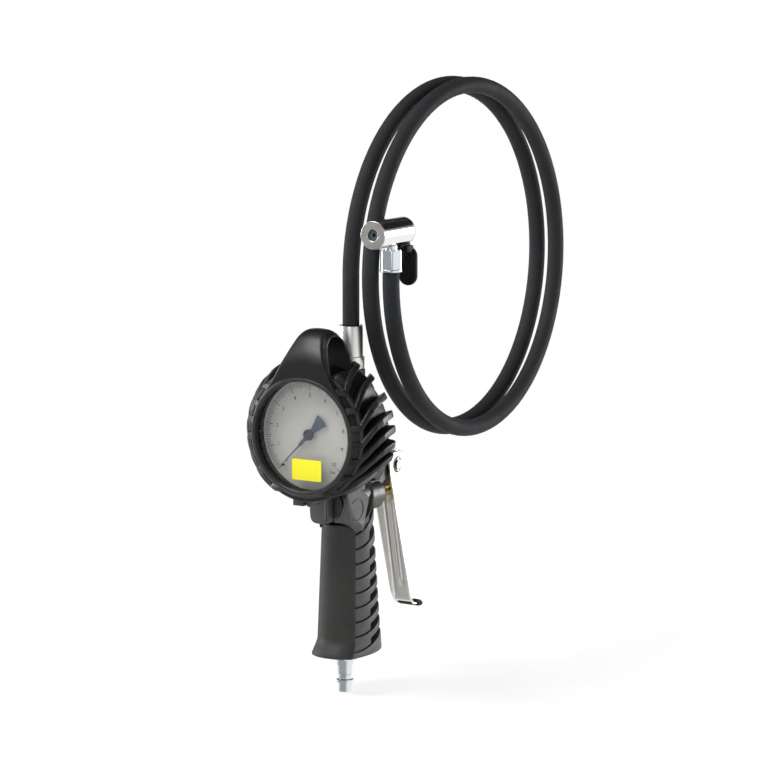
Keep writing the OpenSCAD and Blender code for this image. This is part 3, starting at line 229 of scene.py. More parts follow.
def grid_faces(rows, columns, wrap_columns, start):
    """Quads of a grid of points whose first point has the number start."""
    r = np.arange(rows - 1)
    c = np.arange(columns if wrap_columns else columns - 1)
    r, c = np.meshgrid(r, c, indexing="ij")
    r, c = r.ravel(), c.ravel()
    r2, c2 = r + 1, (c + 1) % columns
    return np.stack([r * columns + c, r * columns + c2, r2 * columns + c2, r2 * columns + c], 1) + start


class Build:
    """Collects grids of points into one piece."""

    def __init__(self):
        self.verts, self.faces = [], []

    def grid(self, points, wrap_columns=False, cap_rows=False):
        points = np.asarray(points, float)
        rows, columns = points.shape[:2]
        start = len(self.verts)
        self.verts.extend(points.reshape(-1, 3).tolist())
        self.faces.extend(grid_faces(rows, columns, wrap_columns, start).tolist())
        if cap_rows:
            ids = np.arange(rows * columns).reshape(rows, columns) + start
            self.faces.append(ids[0].tolist()[::-1])
            self.faces.append(ids[-1].tolist())
        return self

    def piece(self, name, material, **facts):
        return add_piece(name, self.verts, self.faces, material, **facts)


def smooth_line(points, count):
    """A Catmull-Rom curve through points, as count points spread by length."""
    p = np.asarray(points, float)
    q = np.vstack([2 * p[0] - p[1], p, 2 * p[-1] - p[-2]])
    out = []
    for i in range(1, len(q) - 2):
        t = np.linspace(0, 1, 24, endpoint=False)[:, None]
        a, b, c, d = q[i - 1], q[i], q[i + 1], q[i + 2]
        square, cube = 2 * a - 5 * b + 4 * c - d, 3 * b - a - 3 * c + d
        out.append(0.5 * (2 * b + (c - a) * t + square * t**2 + cube * t**3))
    out = np.vstack(out + [p[-1:]])
    run = np.concatenate([[0], np.cumsum(np.linalg.norm(np.diff(out, axis=0), axis=1))])
    at = np.linspace(0, run[-1], count)
    return np.stack([np.interp(at, run, out[:, k]) for k in range(out.shape[1])], 1)


def bend(start, corner, end, steps):
    """Points of the curve (1-t)^2 start + 2t(1-t) corner + t^2 end."""
    return [(1 - t) ** 2 * start + 2 * t * (1 - t) * corner + t * t * end for t in np.linspace(0, 1, steps)]


def rounded(points, radius, steps=5):
    """Rounds the inner corners of an open polyline (r, z); radius is one number or one per point."""
    p = [np.asarray(x, float) for x in points]
    radii = radius if hasattr(radius, "__len__") else [radius] * len(p)
    out = [p[0]]
    for i in range(1, len(p) - 1):
        a, b, c = p[i - 1], p[i], p[i + 1]
        la, lc = np.linalg.norm(a - b), np.linalg.norm(c - b)
        cut = min(radii[i], la / 2, lc / 2)
        if cut < 1e-6:
            out.append(b)
            continue
        out.extend(bend(b + (a - b) / la * cut, b, b + (c - b) / lc * cut, steps))
    out.append(p[-1])
    return np.array(out)


def spokes(axis, around):
    """Unit vectors square to an axis, spread evenly round it."""
    side = np.cross(axis, (0, 0, 1) if abs(axis[2]) < 0.9 else (1, 0, 0))
    side /= np.linalg.norm(side)
    other = np.cross(axis, side)
    a = np.linspace(0, 2 * math.pi, around, endpoint=False)
    return np.cos(a)[:, None] * side + np.sin(a)[:, None] * other


def turn(profile, origin, axis, around=96):
    """Turns an open profile of (radius, distance) round an axis: origin + d*axis + r*spoke."""
    axis, profile = np.asarray(axis, float), np.asarray(profile, float)
    ring = spokes(axis, around)[None]
    return np.asarray(origin) + profile[:, None, 1:2] * axis + profile[:, None, 0:1] * ring


def tube_points(path, radius, sides, ref):
    """Rings round a path: path + r*(cos(a)*u + sin(a)*v), with u, v square to the path's direction."""
    path = np.asarray(path, float)
    t = np.gradient(path, axis=0)
    t /= np.linalg.norm(t, axis=1)[:, None]
    u = np.cross(t, ref)
    u /= np.linalg.norm(u, axis=1)[:, None]
    v = np.cross(t, u)
    a = np.linspace(0, 2 * math.pi, sides, endpoint=False)
    radius = np.broadcast_to(radius, len(path))
    return path[:, None] + radius[:, None, None] * (
        np.cos(a)[None, :, None] * u[:, None] + np.sin(a)[None, :, None] * v[:, None]
    )


def ease(u):
    """u*u*(3 - 2u), held at 0 and 1 outside the span."""
    u = np.clip(u, 0, 1)
    return u * u * (3 - 2 * u)


def dress(material, *names):
    """Gives CAD nodes a material."""
    for name in names:
        slots = nodes[name].data.materials
        slots.clear()
        slots.append(material)


# ---- hose ----
COLUMN_Y, LEAD_LOW = 8.5, 256.0
COIL_Z, COIL_R, PITCH, TURNS = 298.0, 124.0, 16.1, 2
SHIFT = 0.8  # two pitches fall this far short of CHUCK_X
CHUCK_X, NUT_IN = 33.0, 11.5
HOSE_R, HOSE_SKIN, HOSE_ENDING = 6.0, 0.05, (5.95, 5.9, 5.75, 5.75)


def hose_route():
    """The hose's centre line: up out of the ferrule, two turns climbing along +X, down into the nut.

    At angle a: x = pitch*a/360 + shift*ease((a - 640)/60), y = column + R*(1 - cos a), z = z0 + R*sin a.
    """
    start = np.array([[0, COLUMN_Y, z] for z in np.linspace(LEAD_LOW, COIL_Z, 9)[:-1]])
    a = np.arange(0, 360 * TURNS, 3.75)
    w = np.radians(a)
    x = PITCH * a / 360 + SHIFT * ease((a - 360 * TURNS + 80) / 60)
    coil = np.stack([x, COLUMN_Y + COIL_R * (1 - np.cos(w)), COIL_Z + COIL_R * np.sin(w)], 1)
    end = np.array([[CHUCK_X, COLUMN_Y, z] for z in np.linspace(COIL_Z, COIL_Z + NUT_IN - 0.5, 4)])
    return np.vstack([start, coil, end])


route = hose_route()
hose_radius = np.full(len(route), HOSE_R - HOSE_SKIN)
hose_radius[-len(HOSE_ENDING):] = HOSE_ENDING
hose = Build().grid(tube_points(route, hose_radius, 40, (1, 0, 0)), wrap_columns=True, cap_rows=True).piece(
    "hose", HOSE, slot="hose_rubber"
)
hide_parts("hose_lead", "hose_coil", "hose_root", "hose_tip")

# ---- boot ----
DIAL_Z = 189.5
Y_AXIS, Z_AXIS = (0, 1, 0), (0, 0, 1)
GROOVE = [(41.5, -54.9), (42.0, -53.2), (43.8, -51.6), (45.2, -47), (46.4, -41), (46.8, -33), (46.6, -24),
          (45.8, -17), (43.6, -11), (40.5, -7.6), (38, -6.7)]
RIB_TOP = [(40.5, -55.2), (43.5, -53.9), (47.2, -51.6), (51.2, -46.8), (54, -41), (55.4, -35), (55.5, -28),
           (54.9, -22.5), (54.0, -19.0), (53.2, -17.4), (51.5, -16.6), (45.0, -16.3)]
RIB_H = 2.35
# Ribs from the top one down: height of the first, step, rise of each, and the curve of the rise
RIB_FIRST, RIB_STEP, RIB_CURVE, RISE_REACHED = 33.0, 12.1, 10.3, 0.963
RIB_RISE = (16.0, 19.9, 19.2, 18.9, 20.5, 21.8, 24.6)
CHAMBER_HALF, CHAMBER_Y, CHAMBER_TOP = 15.2, -25.4, 150.8
SWELL, LOOP_SINK, CASE_REACH = 3.4, 4.4, 44.4


def boot_body():
    """The boot without ribs: the turned profile of lip, valleys and back, then three local changes."""
    lip = [(38.0, -51.9), (38.0, -55.2), (38.35, -56.1), (39.1, -56.5), (40.3, -56.35), (41.2, -55.75)]
    outer = smooth_line(GROOVE, 64)
    back = [(10.5, -6.7), (10.5, -12)]
    points = turn(np.vstack([lip, outer, back]), (0, 0, DIAL_Z), Y_AXIS, 320)
    x, y, z = points[..., 0], points[..., 1], points[..., 2]
    # room for the valve chamber below
    under = (np.abs(x) < CHAMBER_HALF) & (y > CHAMBER_Y) & (z < DIAL_Z)
    points[..., 2] = np.where(under, np.maximum(z, CHAMBER_TOP), z)
    # fuller above, under the steep ribs
    full = SWELL * ease(((z - DIAL_Z) / 46 - 0.55) / 0.2) * ease((y + 50) / 6) * ease((-15 - y) / 3)
    swell = 1 + full / np.maximum(np.hypot(x, z - DIAL_Z), 1)
    x, z = x * swell, DIAL_Z + (z - DIAL_Z) * swell
    points[..., 0], points[..., 2] = x, DIAL_Z + (points[..., 2] - DIAL_Z) * swell
    # the floor of the loop's opening, sunk towards the case
    sunk = LOOP_SINK * ease((23 - np.abs(x)) / 5) * ease((y + 49) / 4) * ease((-17.5 - y) / 4) * (z > DIAL_Z)
    reach = np.hypot(x, points[..., 2] - DIAL_Z)
    share = np.where(reach > CASE_REACH, np.maximum(reach - sunk, CASE_REACH) / np.maximum(reach, 1), 1)
    points[..., 0] = x * share
    points[..., 2] = DIAL_Z + (points[..., 2] - DIAL_Z) * share
    return points


def rib_line(k):
    """Height of rib k over the dial's centre: level near the lip, then rising by rise*(1 - exp(-t/curve))."""
    y = np.linspace(-55.2, -16.3, 100)
    t = np.maximum(y + 51.0, 0)
    return y, RIB_FIRST - RIB_STEP * k + RIB_RISE[k] * (1 - np.exp(-t / RIB_CURVE)) / RISE_REACHED


def boot_ribs(build):
    """Each rib is a radial wall: angle asin(z/r) at its top, sides parallel to that ray, edges rolled."""
    tops = np.array(RIB_TOP)
    valley = np.array(GROOVE)
    section = [(1.0, -1.6), (1.0, -0.8), (1.0, -0.34), (0.93, -0.12), (0.76, -0.02), (0.45, 0.0), (0.0, 0.0)]
    section = section + [(-a, b) for a, b in section[-2::-1]]
    for k in range(len(RIB_RISE)):
        y, mid = rib_line(k)
        top = np.interp(y, tops[:, 1], tops[:, 0])
        low = np.interp(y, valley[:, 1], valley[:, 0])
        angle = np.arcsin(mid / np.maximum(top, np.where(y > -30, 53, 44)))
        rows = []
        for share, depth in section:
            r = np.where(depth < -0.5, low - 1.0 if depth < -1 else 0.5 * (low + top), top + 1.6 * depth)
            x = r * np.cos(angle) - RIB_H * share * np.sin(angle)
            z = r * np.sin(angle) + RIB_H * share * np.cos(angle)
            rows.append(np.stack([x, y, DIAL_Z + z], 1))
        grid = np.array(rows).transpose(1, 0, 2)
        for side in (1, -1):
            build.grid(grid * (side, 1, 1), cap_rows=True)
    return build


# Half width of the hanging loop at each height
LOOP_HALF = [(208, 37.4), (213, 34.6), (218, 31.2), (224, 27), (233, 21.5), (239, 18.5), (244, 16), (251, 13),
             (257.6, 10.6), (260.4, 9.4), (262.5, 8.4)]
# Stations of the loop from the lip over the top to the rear: outer (y, z), inner (y, z), share of the width
LOOP_WAY = [
    (-56.1, 206, -36, 206, 1.0), (-56.1, 213, -38, 213, 1.0), (-56.15, 219, -42, 219.5, 1.0),
    (-56.2, 225, -48.2, 223.6, 1.0), (-56.1, 230, -51.0, 228, 1.0), (-55.7, 235, -49.9, 233.6, 1.0),
    (-54.6, 240.6, -48.0, 238.6, 1.0), (-52.4, 246, -45.4, 243.6, 1.0), (-49.3, 251.5, -42.4, 248.6, 1.0),
    (-45.4, 257, -38.6, 252.8, 1.0), (-41.0, 260.6, -34.8, 255.2, 0.98), (-35.5, 262.2, -31.4, 256.1, 0.96),
    (-29.4, 262.0, -28.2, 256.2, 0.93), (-23, 259.4, -24.2, 255.4, 0.89), (-17.4, 255, -20.6, 252.8, 0.85),
    (-13.4, 249.6, -18.3, 248.6, 0.81), (-11.6, 243.6, -17.8, 243.6, 0.79), (-11.6, 238, -19.4, 239, 0.80),
    (-12.6, 232, -21, 233, 0.84), (-14, 226, -22, 226, 0.9)
]


LOOP_CLEAR, LOOP_EDGE, LOOP_CROWN = 39.9, 1.7, 0.9


def loop_strap():
    """The hanging loop as rounded oblongs between an outer and an inner curve in the side view.

    Each oblong is 2*w(z) wide with edges of 1.7 mm radius; the outer face is crowned by
    0.9*(x/w)^2. Points nearer to the dial's axis than LOOP_CLEAR are moved out to it.
    """
    way = smooth_line(LOOP_WAY, 150)
    outer, inner, share = way[:, None, 0:2], way[:, None, 2:4], way[:, 4:5]
    deep = np.linalg.norm(inner - outer, axis=2)
    half_z, half_x = np.array(LOOP_HALF).T
    w_out = np.interp(way[:, 1:2], half_z, half_x) * share
    w_in = np.interp(way[:, 3:4], half_z, half_x) * (0.5 + 0.5 * share)
    r = np.minimum(LOOP_EDGE, deep * 0.4)
    # half an oblong: outer face, edge, side, edge, inner face
    u, a, t = np.linspace(0, 1, 14), np.radians((22, 45, 68)), np.linspace(0, 1, 7)
    x = np.hstack([(w_out - r) * u, w_out - r + r * np.sin(a), w_out + (w_in - w_out) * t,
                   w_in - r + r * np.cos(a), (w_in - r) * (1 - u)])
    d = np.hstack([r * 0 * u, r - r * np.cos(a), r + (deep - 2 * r) * t,
                   deep - r + r * np.sin(a), deep * np.ones_like(u)])
    x, d = np.hstack([x, -x[:, -2:0:-1]]), np.hstack([d, d[:, -2:0:-1]])
    crown = LOOP_CROWN * np.minimum(np.abs(x) / w_out, 1) ** 2 * (1 - d / deep)
    points = np.dstack([x, outer + (inner - outer) * ((d + crown) / deep)[..., None]])
    x, z = points[..., 0], points[..., 2] - DIAL_Z
    reach = np.hypot(x, z)
    out = np.maximum(1, LOOP_CLEAR / np.maximum(reach, 1))
    points[..., 0], points[..., 2] = x * out, DIAL_Z + z * out
    return points


boot = Build().grid(boot_body(), wrap_columns=True)
boot_ribs(boot)
boot.grid(loop_strap(), wrap_columns=True)
hoop = [(43.5, -51.2), (45.6, -51.1), (46.5, -50.6), (46.9, -49.6), (46.9, -47.4), (46.5, -46.6), (45.2, -46.2)]
boot.grid(turn(hoop, (0, 0, DIAL_Z), Y_AXIS, 240), wrap_columns=True)


def block(x0, x1, y0, y1, z0, z1, r=0.8):
    """A block with edges rounded by r, as rings of rounded rectangles stacked along Y."""
    rows = []
    steps = ((y0, r), (y0 + 0.3 * r, 0.3 * r), (y0 + r, 0), (y1 - r, 0), (y1 - 0.3 * r, 0.3 * r), (y1, r))
    corners = ((x1 - r, z1 - r, 0), (x0 + r, z1 - r, 90), (x0 + r, z0 + r, 180), (x1 - r, z0 + r, 270))
    for y, inset in steps:
        ring = []
        for cx, cz, start in corners:
            for a in np.radians(np.linspace(start, start + 90, 5)):
                ring.append((cx + (r - inset) * math.cos(a), y, cz + (r - inset) * math.sin(a)))
        rows.append(ring)
    return np.array(rows)


# two small blocks under the boot
for x0, x1 in ((-10.5, -1.5), (1.0, 4.0)):
    boot.grid(block(x0, x1, -50.5, -38, 139.8, 148), wrap_columns=True, cap_rows=True)
boot_piece = boot.piece("boot", BOOT, slot="boot_rubber", sharp=42)
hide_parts("gauge_boot")

# ---- dial print ----
PRINT_Y = -44.15
ZERO_AT, SCALE_SWEEP, SCALE_STEPS, SCALE_TOP = 225, 270, 100, 10
TICK_OUT, FIGURE_R, FIGURE_H, ARC_STEPS = 36.6, 27.5, 3.9, 180
# Length and width of a tick at each whole bar, half bar and tenth
WHOLE, HALF, TENTH = (5.4, 0.50), (4.2, 0.42), (3.2, 0.34)
print_build = Build()


def stroke(x0, z0, x1, z1, width):
    """A printed line as one flat oblong on the dial."""
    p, q = np.array((x0, z0)), np.array((x1, z1))
    n = np.array((-(q - p)[1], (q - p)[0])) / np.linalg.norm(q - p) * width / 2
    corners = [p - n, p + n, q - n, q + n]
    print_build.grid([[(c[0], PRINT_Y, DIAL_Z + c[1]) for c in pair] for pair in (corners[:2], corners[2:])])


for step in range(SCALE_STEPS + 1):
    a = math.radians(ZERO_AT - SCALE_SWEEP / SCALE_STEPS * step)
    length, width = WHOLE if step % 10 == 0 else HALF if step % 5 == 0 else TENTH
    inner = TICK_OUT - length
    stroke(TICK_OUT * math.cos(a), TICK_OUT * math.sin(a), inner * math.cos(a), inner * math.sin(a), width)
arc = [math.radians(ZERO_AT - SCALE_SWEEP * i / ARC_STEPS) for i in range(ARC_STEPS + 1)]
print_build.grid([[(r * math.cos(a), PRINT_Y, DIAL_Z + r * math.sin(a)) for r in (36.55, 36.7)] for a in arc])


def lettering(text, x, z, size):
    """Plain figures of a scale, laid on the dial."""
    curve = bpy.data.curves.new("figure", "FONT")
    curve.body, curve.size = text, size
    curve.align_x, curve.align_y = "CENTER", "CENTER"
    curve.resolution_u = 3
    shape = bpy.data.objects.new("figure", curve)
    bpy.context.scene.collection.objects.link(shape)
    bpy.context.view_layer.update()
    mesh = bpy.data.meshes.new_from_object(shape)
    start = len(print_build.verts)
    print_build.verts.extend([(x + v.co.x, PRINT_Y, DIAL_Z + z + v.co.y) for v in mesh.vertices])
    print_build.faces.extend([[start + i for i in f.vertices] for f in mesh.polygons])
    bpy.data.objects.remove(shape)
    bpy.data.curves.remove(curve)
    bpy.data.meshes.remove(mesh)


for number in range(SCALE_TOP + 1):
    a = math.radians(ZERO_AT - SCALE_SWEEP / SCALE_TOP * number)
    lettering(str(number), FIGURE_R * math.cos(a), FIGURE_R * math.sin(a), FIGURE_H)
lettering("bar", 18.8, -24.8, 3.4)
print_build.piece("dial_print", INK, slot="dial_face", smooth=False)

hub = rounded([(0.02, -47.75), (1.1, -47.75), (1.5, -47.5), (3.4, -47.5), (3.9, -47.2), (3.9, -46.1)],
              [0, 0.1, 0.1, 0.4, 0.2, 0], 4)
Build().grid(turn(hub, (0, 0, DIAL_Z), Y_AXIS, 64), wrap_columns=True).piece(
    "pointer_hub", HUB, body="pointer", slot="pointer_blue", sharp=40)

# ---- grip ----
GRIP_LOW, GRIP_TOP, FLARE_H = 27.0, 122.0, 13.0
MID_Y, RIB_LOW, RIB_PITCH = 3.5, 32.3, 10.3
FRONT_N, SIDE_N, REAR_N = 60, 36, 120
POCKET_H, POCKET_Y = 4.4, 4.6
LAST_RIB = 8
SOFT_MM, SOFT_N, SOFT_REACH = 0.8, 720, 24


def grip_ring(z):
    """Closed outline of the grip at height z: bowed front, parabolic sides, half an ellipse behind."""
    u = np.clip((z - GRIP_LOW) / (GRIP_TOP - GRIP_LOW), 0, 1)
    flare = 1 - ease((z - GRIP_LOW) / FLARE_H)
    half = 19.5 - 2.0 * u
    depth = 37 - 12.5 * u**0.9 - MID_Y
    cx = half - 4 + 1.6 * flare
    cy = -(12.9 - 4.0 * u) - 4.7 * flare
    fy = -(18 - 3.0 * u) - 6 * flare
    f = np.linspace(-1, 1, FRONT_N, endpoint=False)
    front = np.stack([cx * f, fy + (cy - fy) * np.abs(f) ** 2.4], 1)
    s = 1 - np.linspace(0, 1, SIDE_N, endpoint=False)
    side = np.stack([half - (half - cx) * s**2, MID_Y + (cy - MID_Y) * s], 1)
    t = np.linspace(0, math.pi, REAR_N, endpoint=False)
    rear = np.stack([half * np.cos(t), MID_Y + depth * np.sin(t)], 1)
    s = np.linspace(0, 1, SIDE_N, endpoint=False)
    other = np.stack([-(half - (half - cx) * s**2), MID_Y + (cy - MID_Y) * s], 1)
    ring = np.vstack([front, side, rear, other])
    # soft corners: a Gaussian mean along the outline
    count = len(ring)
    looped = np.vstack([ring, ring[:1]])
    run = np.concatenate([[0], np.cumsum(np.linalg.norm(np.diff(looped, axis=0), axis=1))])
    even = np.linspace(0, run[-1], SOFT_N, endpoint=False)
    fine = np.stack([np.interp(even, run, looped[:, k]) for k in range(2)], 1)
    sigma = SOFT_MM / (run[-1] / SOFT_N)
    kernel = np.exp(-0.5 * (np.arange(-SOFT_REACH, SOFT_REACH + 1) / sigma) ** 2)
    kernel /= kernel.sum()
    wide = np.vstack([fine[-SOFT_REACH:], fine, fine[:SOFT_REACH]])
    soft = np.stack([np.convolve(wide[:, k], kernel, "valid") for k in range(2)], 1)
    soft = np.vstack([soft, soft[:1]])
    back = np.concatenate([even, [run[-1]]])
    return np.stack([np.interp(run[:count], back, soft[:, k]) for k in range(2)], 1)


LEVELS = np.linspace(24, 125, 102)
RINGS = np.array([grip_ring(z) for z in LEVELS])
RING_N = RINGS.shape[1]


def grip_points(z, inset):
    """Points of the grip for a (rows, ring) array of heights, drawn in by inset."""
    at = np.clip((z - LEVELS[0]) / (LEVELS[1] - LEVELS[0]), 0, len(LEVELS) - 1.001)
    low = at.astype(int)
    part = (at - low)[..., None]
    column = np.arange(RING_N)[None]
    xy = RINGS[low, column] * (1 - part) + RINGS[low + 1, column] * part
    ahead, behind = np.roll(xy, -2, 1), np.roll(xy, 2, 1)
    way = ahead - behind
    way /= np.linalg.norm(way, axis=2)[..., None]
    normal = np.stack([way[..., 1], -way[..., 0]], 2)
    return xy - normal * inset[..., None], z


def panel():
    """Front panel: the ring's front and a little of its sides, with rolled edges."""
    ends = [(27.0, 6.0), (27.0, 2.4), (27.15, 1.2), (27.6, 0.4), (28.4, 0.0)]
    top = [(120.2, 0.0), (121.1, 0.25), (121.75, 0.9), (122.0, 2.0), (122.0, 8.0)]
    rows = ends + [(z, 0.0) for z in np.linspace(29.5, 119.5, 60)] + top
    z = np.array([r[0] for r in rows])[:, None] * np.ones((1, RING_N))
    inset = np.array([r[1] for r in rows])[:, None] * np.ones((1, RING_N))
    xy, z = grip_points(z, inset)
    points = np.concatenate([xy, z[..., None]], 2)
    pick = np.concatenate([np.arange(RING_N - 3, RING_N), np.arange(0, FRONT_N + 4)])
    return points[:, pick]


def rib_height(k, y):
    """Height of rib k's lower edge at y; the two top ribs sweep up behind."""
    u = (y + 20) / 62
    sweep = 50 if k >= LAST_RIB else 20 if k == LAST_RIB - 1 else 0
    return RIB_LOW + RIB_PITCH * k + 12 * ease((u - 0.12) / 0.9) + sweep * np.maximum(0, u - 0.15) ** 1.6


def shell():
    """Rear shell: strips with a slit under each, opening behind into a pocket above the next strip's lip.

    Row o (0 to 10.3) of strip k lies o above rib_height(k). The inset is the slit's near 0 and 10, the
    pocket's below POCKET_H behind POCKET_Y, and 0.9*(1 - o/6)^2 in front of it.
    """
    rows = [(0, o - 5.3, inset) for o, inset in ((0.0, 6.0), (0.0, 2.4), (0.15, 1.2), (0.6, 0.4), (1.4, 0.0))]
    rows += [(0, -3.2, 0.0), (0, -2.0, 0.0), (0, -1.15, 0.15), (0, -0.95, "slit"), (0, -0.5, "slit")]
    above = (POCKET_H + 0.15, POCKET_H + 0.5, 6.0, 7.2, 8.4, 9.1, 9.35, 9.8)
    for k in range(LAST_RIB + 1):
        for o in (0.0, 0.1, 0.5, 1.2, 2.0, 2.8, 3.6, POCKET_H) + above:
            if k == LAST_RIB and o > POCKET_H + 0.5:
                break
            rows.append((k, o, "slit" if o == 0 or o > 9.2 else "pocket" if o <= POCKET_H else "face"))
    rows += [(LAST_RIB, 5.6, 0.0), (LAST_RIB, 5.6, 8.0)]
    zs, insets = [], []
    for k, o, kind in rows:
        # a height depends on y and y on the height: four rounds from a ring at mid height settle both
        y = RINGS[60][:, 1]
        for _ in range(4):
            base = rib_height(k, y)
            ahead = rib_height(k + 1, y) if k < LAST_RIB else base + RIB_PITCH
            z = base + (ahead - base) * o / RIB_PITCH if o > 0 else base + o
            z = np.where(o < -3.6, RIB_LOW + o, z)
            at = np.clip(z - LEVELS[0], 0, len(LEVELS) - 1.001)
            y = RINGS[at.astype(int), np.arange(RING_N), 1]
        pocket = 4.8 * ease((y - POCKET_Y) / 1.6)
        lean = 0.9 * max(0.0, 1 - o / 6) ** 2 * (1 - ease((y - 2) / 6))
        if kind == "slit":
            inset = np.maximum(pocket, 1.8)
        elif kind == "pocket":
            inset = np.maximum(pocket, lean)
        elif kind == "face":
            inset = lean + (0.25 if o < POCKET_H + 0.3 else 0.0) * (pocket > 0.2) + (0.12 if o == 9.1 else 0.0)
        else:
            inset = np.full(RING_N, kind)
        zs.append(z)
        insets.append(inset)
    xy, z = grip_points(np.array(zs), np.array(insets))
    points = np.concatenate([xy, z[..., None]], 2)
    return points[:, FRONT_N + 3: RING_N - 2]


Build().grid(panel()).piece("panel", PANEL, slot="grip_panel", sharp=50)


def plate(outline, x0, x1, corner=1.2, bevel=0.7):
    """A flat plate across X with rounded corners and rolled edges; outline is closed, as (y, z)."""
    p = [np.asarray(q, float) for q in outline]
    ring = []
    for i in range(len(p)):
        a, b, c = p[i - 1], p[i], p[(i + 1) % len(p)]
        la, lc = np.linalg.norm(a - b), np.linalg.norm(c - b)
        cut = min(corner, la * 0.45, lc * 0.45)
        ring.extend(bend(b + (a - b) / la * cut, b, b + (c - b) / lc * cut, 5))
    ring = np.array(ring)
    way = np.roll(ring, -1, 0) - np.roll(ring, 1, 0)
    way /= np.linalg.norm(way, axis=1)[:, None] + 1e-9
    area = np.sum(ring[:, 0] * np.roll(ring[:, 1], -1) - np.roll(ring[:, 0], -1) * ring[:, 1])
    normal = np.stack([way[:, 1], -way[:, 0]], 1) * np.sign(area)
    sign = 1 if x1 > x0 else -1
    rows = []
    steps = ((x0, bevel), (x0 + sign * bevel, 0), (x1 - sign * bevel, 0),
             (x1 - sign * 0.3 * bevel, 0.3 * bevel), (x1, bevel))
    for x, inset in steps:
        q = ring - normal * inset
        rows.append(np.stack([np.full(len(q), x), q[:, 0], q[:, 1]], 1))
    return np.array(rows)


# A cheek at each height z: A (x, y), B (x, y), C (x, y) of its front curve, and the y of its rear end
CHEEK_ROWS = [
    (117.5, 14.2, -10.2, 16.6, -7, 17.4, -3.0, -2.0), (120, 13.4, -11.6, 16.6, -9, 17.45, -4.0, -1.5),
    (122.5, 11.6, -15.5, 16.4, -13, 17.4, -6.0, -0.6), (124.5, 10.0, -20.5, 16.2, -19, 17.2, -8.5, 0.2),
    (126.5, 9.7, -22.4, 16.2, -21.5, 17.1, -11.0, 1.0), (131, 11.4, -22.8, 16.5, -22.6, 17.0, -14.5, 2.8),
    (137, 13.6, -22.9, 16.8, -22.9, 17.0, -18.0, 5.0), (142, 15.2, -22.9, 16.9, -22.9, 17.0, -20.5, 3.5),
    (146, 16.2, -22.9, 17.0, -22.9, 17.0, -21.8, -4.4), (151, 16.4, -22.9, 17.0, -22.9, 17.0, -22.0, -4.6)
]


def cheek(side):
    """A cheek of the neck: at each height a curve (1-t)^2 A + 2t(1-t) B + t^2 C, then straight to the rear."""
    rows = []
    for z, ax, ay, bx, by, cx, cy, ry in smooth_line(CHEEK_ROWS, 60):
        t = np.linspace(0, 1, 22)[:, None]
        front = (1 - t) ** 2 * (ax, ay) + 2 * t * (1 - t) * np.array((bx, by)) + t**2 * (cx, cy)
        run = np.stack([np.full(20, cx), np.linspace(cy, ry - 0.8, 21)[1:]], 1)
        roll = [(cx - 0.25, ry - 0.25), (cx - 0.9, ry), (cx - 6, ry)]
        line = np.vstack([[(ax - 0.6, ay + 7)], [(ax - 0.35, ay + 0.4)], front, run, roll])
        rows.append(np.stack([line[:, 0] * side, line[:, 1], np.full(len(line), z)], 1))
    return np.array(rows)


def slab(outline, y0, y1, corner, bevel):
    """A flat slab seen from the front: outline as (x, z), from y0 to the face at y1."""
    return plate(outline, y0, y1, corner, bevel)[..., [1, 0, 2]]


rear = Build().grid(shell())
for side in (1, -1):
    rear.grid(cheek(side))
    # the oval ring on the cheek
    w = np.radians(np.linspace(0, 360, 72, endpoint=False))
    oval_y = -11.2 + 8.6 * np.cos(w) + 1.0 * np.sin(w)
    oval_x = 17.05 - 0.06 * np.maximum(0, -14.5 - oval_y) ** 1.8
    oval = np.stack([oval_x * side, oval_y, 132.8 + 7.9 * np.sin(w)], 1)
    looped = np.vstack([oval, oval[:2]])
    rear.grid(tube_points(looped, 0.45, 8, (1, 0, 0)), wrap_columns=True)
# The neck's front: outline (x, z), y behind, y of the face, corner, bevel
NECK_SLABS = [([(-14.5, 150), (-14.5, 136), (-14.5, 122.6), (2.2, 122.6), (2.2, 150)], -8, -23, 6.5, 1.0),
              ([(1, 150), (1, 123.2), (12, 123.2), (14.4, 127), (14.4, 150)], -8, -16.0, 1.5, 0.6),
              ([(-2.1, 150), (-2.1, 128.0), (0, 124.0), (2.1, 128.0), (2.1, 150)], -20, -24.2, 0.8, 0.7)]
for facts in NECK_SLABS:
    rear.grid(slab(*facts), wrap_columns=True, cap_rows=True)
rear_piece = rear.piece("rear_shell", SHELL, slot="grip_ribbed", sharp=38)
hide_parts("grip_rear")
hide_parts("grip_front")

# ---- lever ----
PIVOT = np.array((57.0, 155.0))
LEVER_T, LEVER_HALF, LEVER_BEND = 1.2, 7.0, 2.6
BEAD_H, BEAD_HALF = 1.3, 1.7


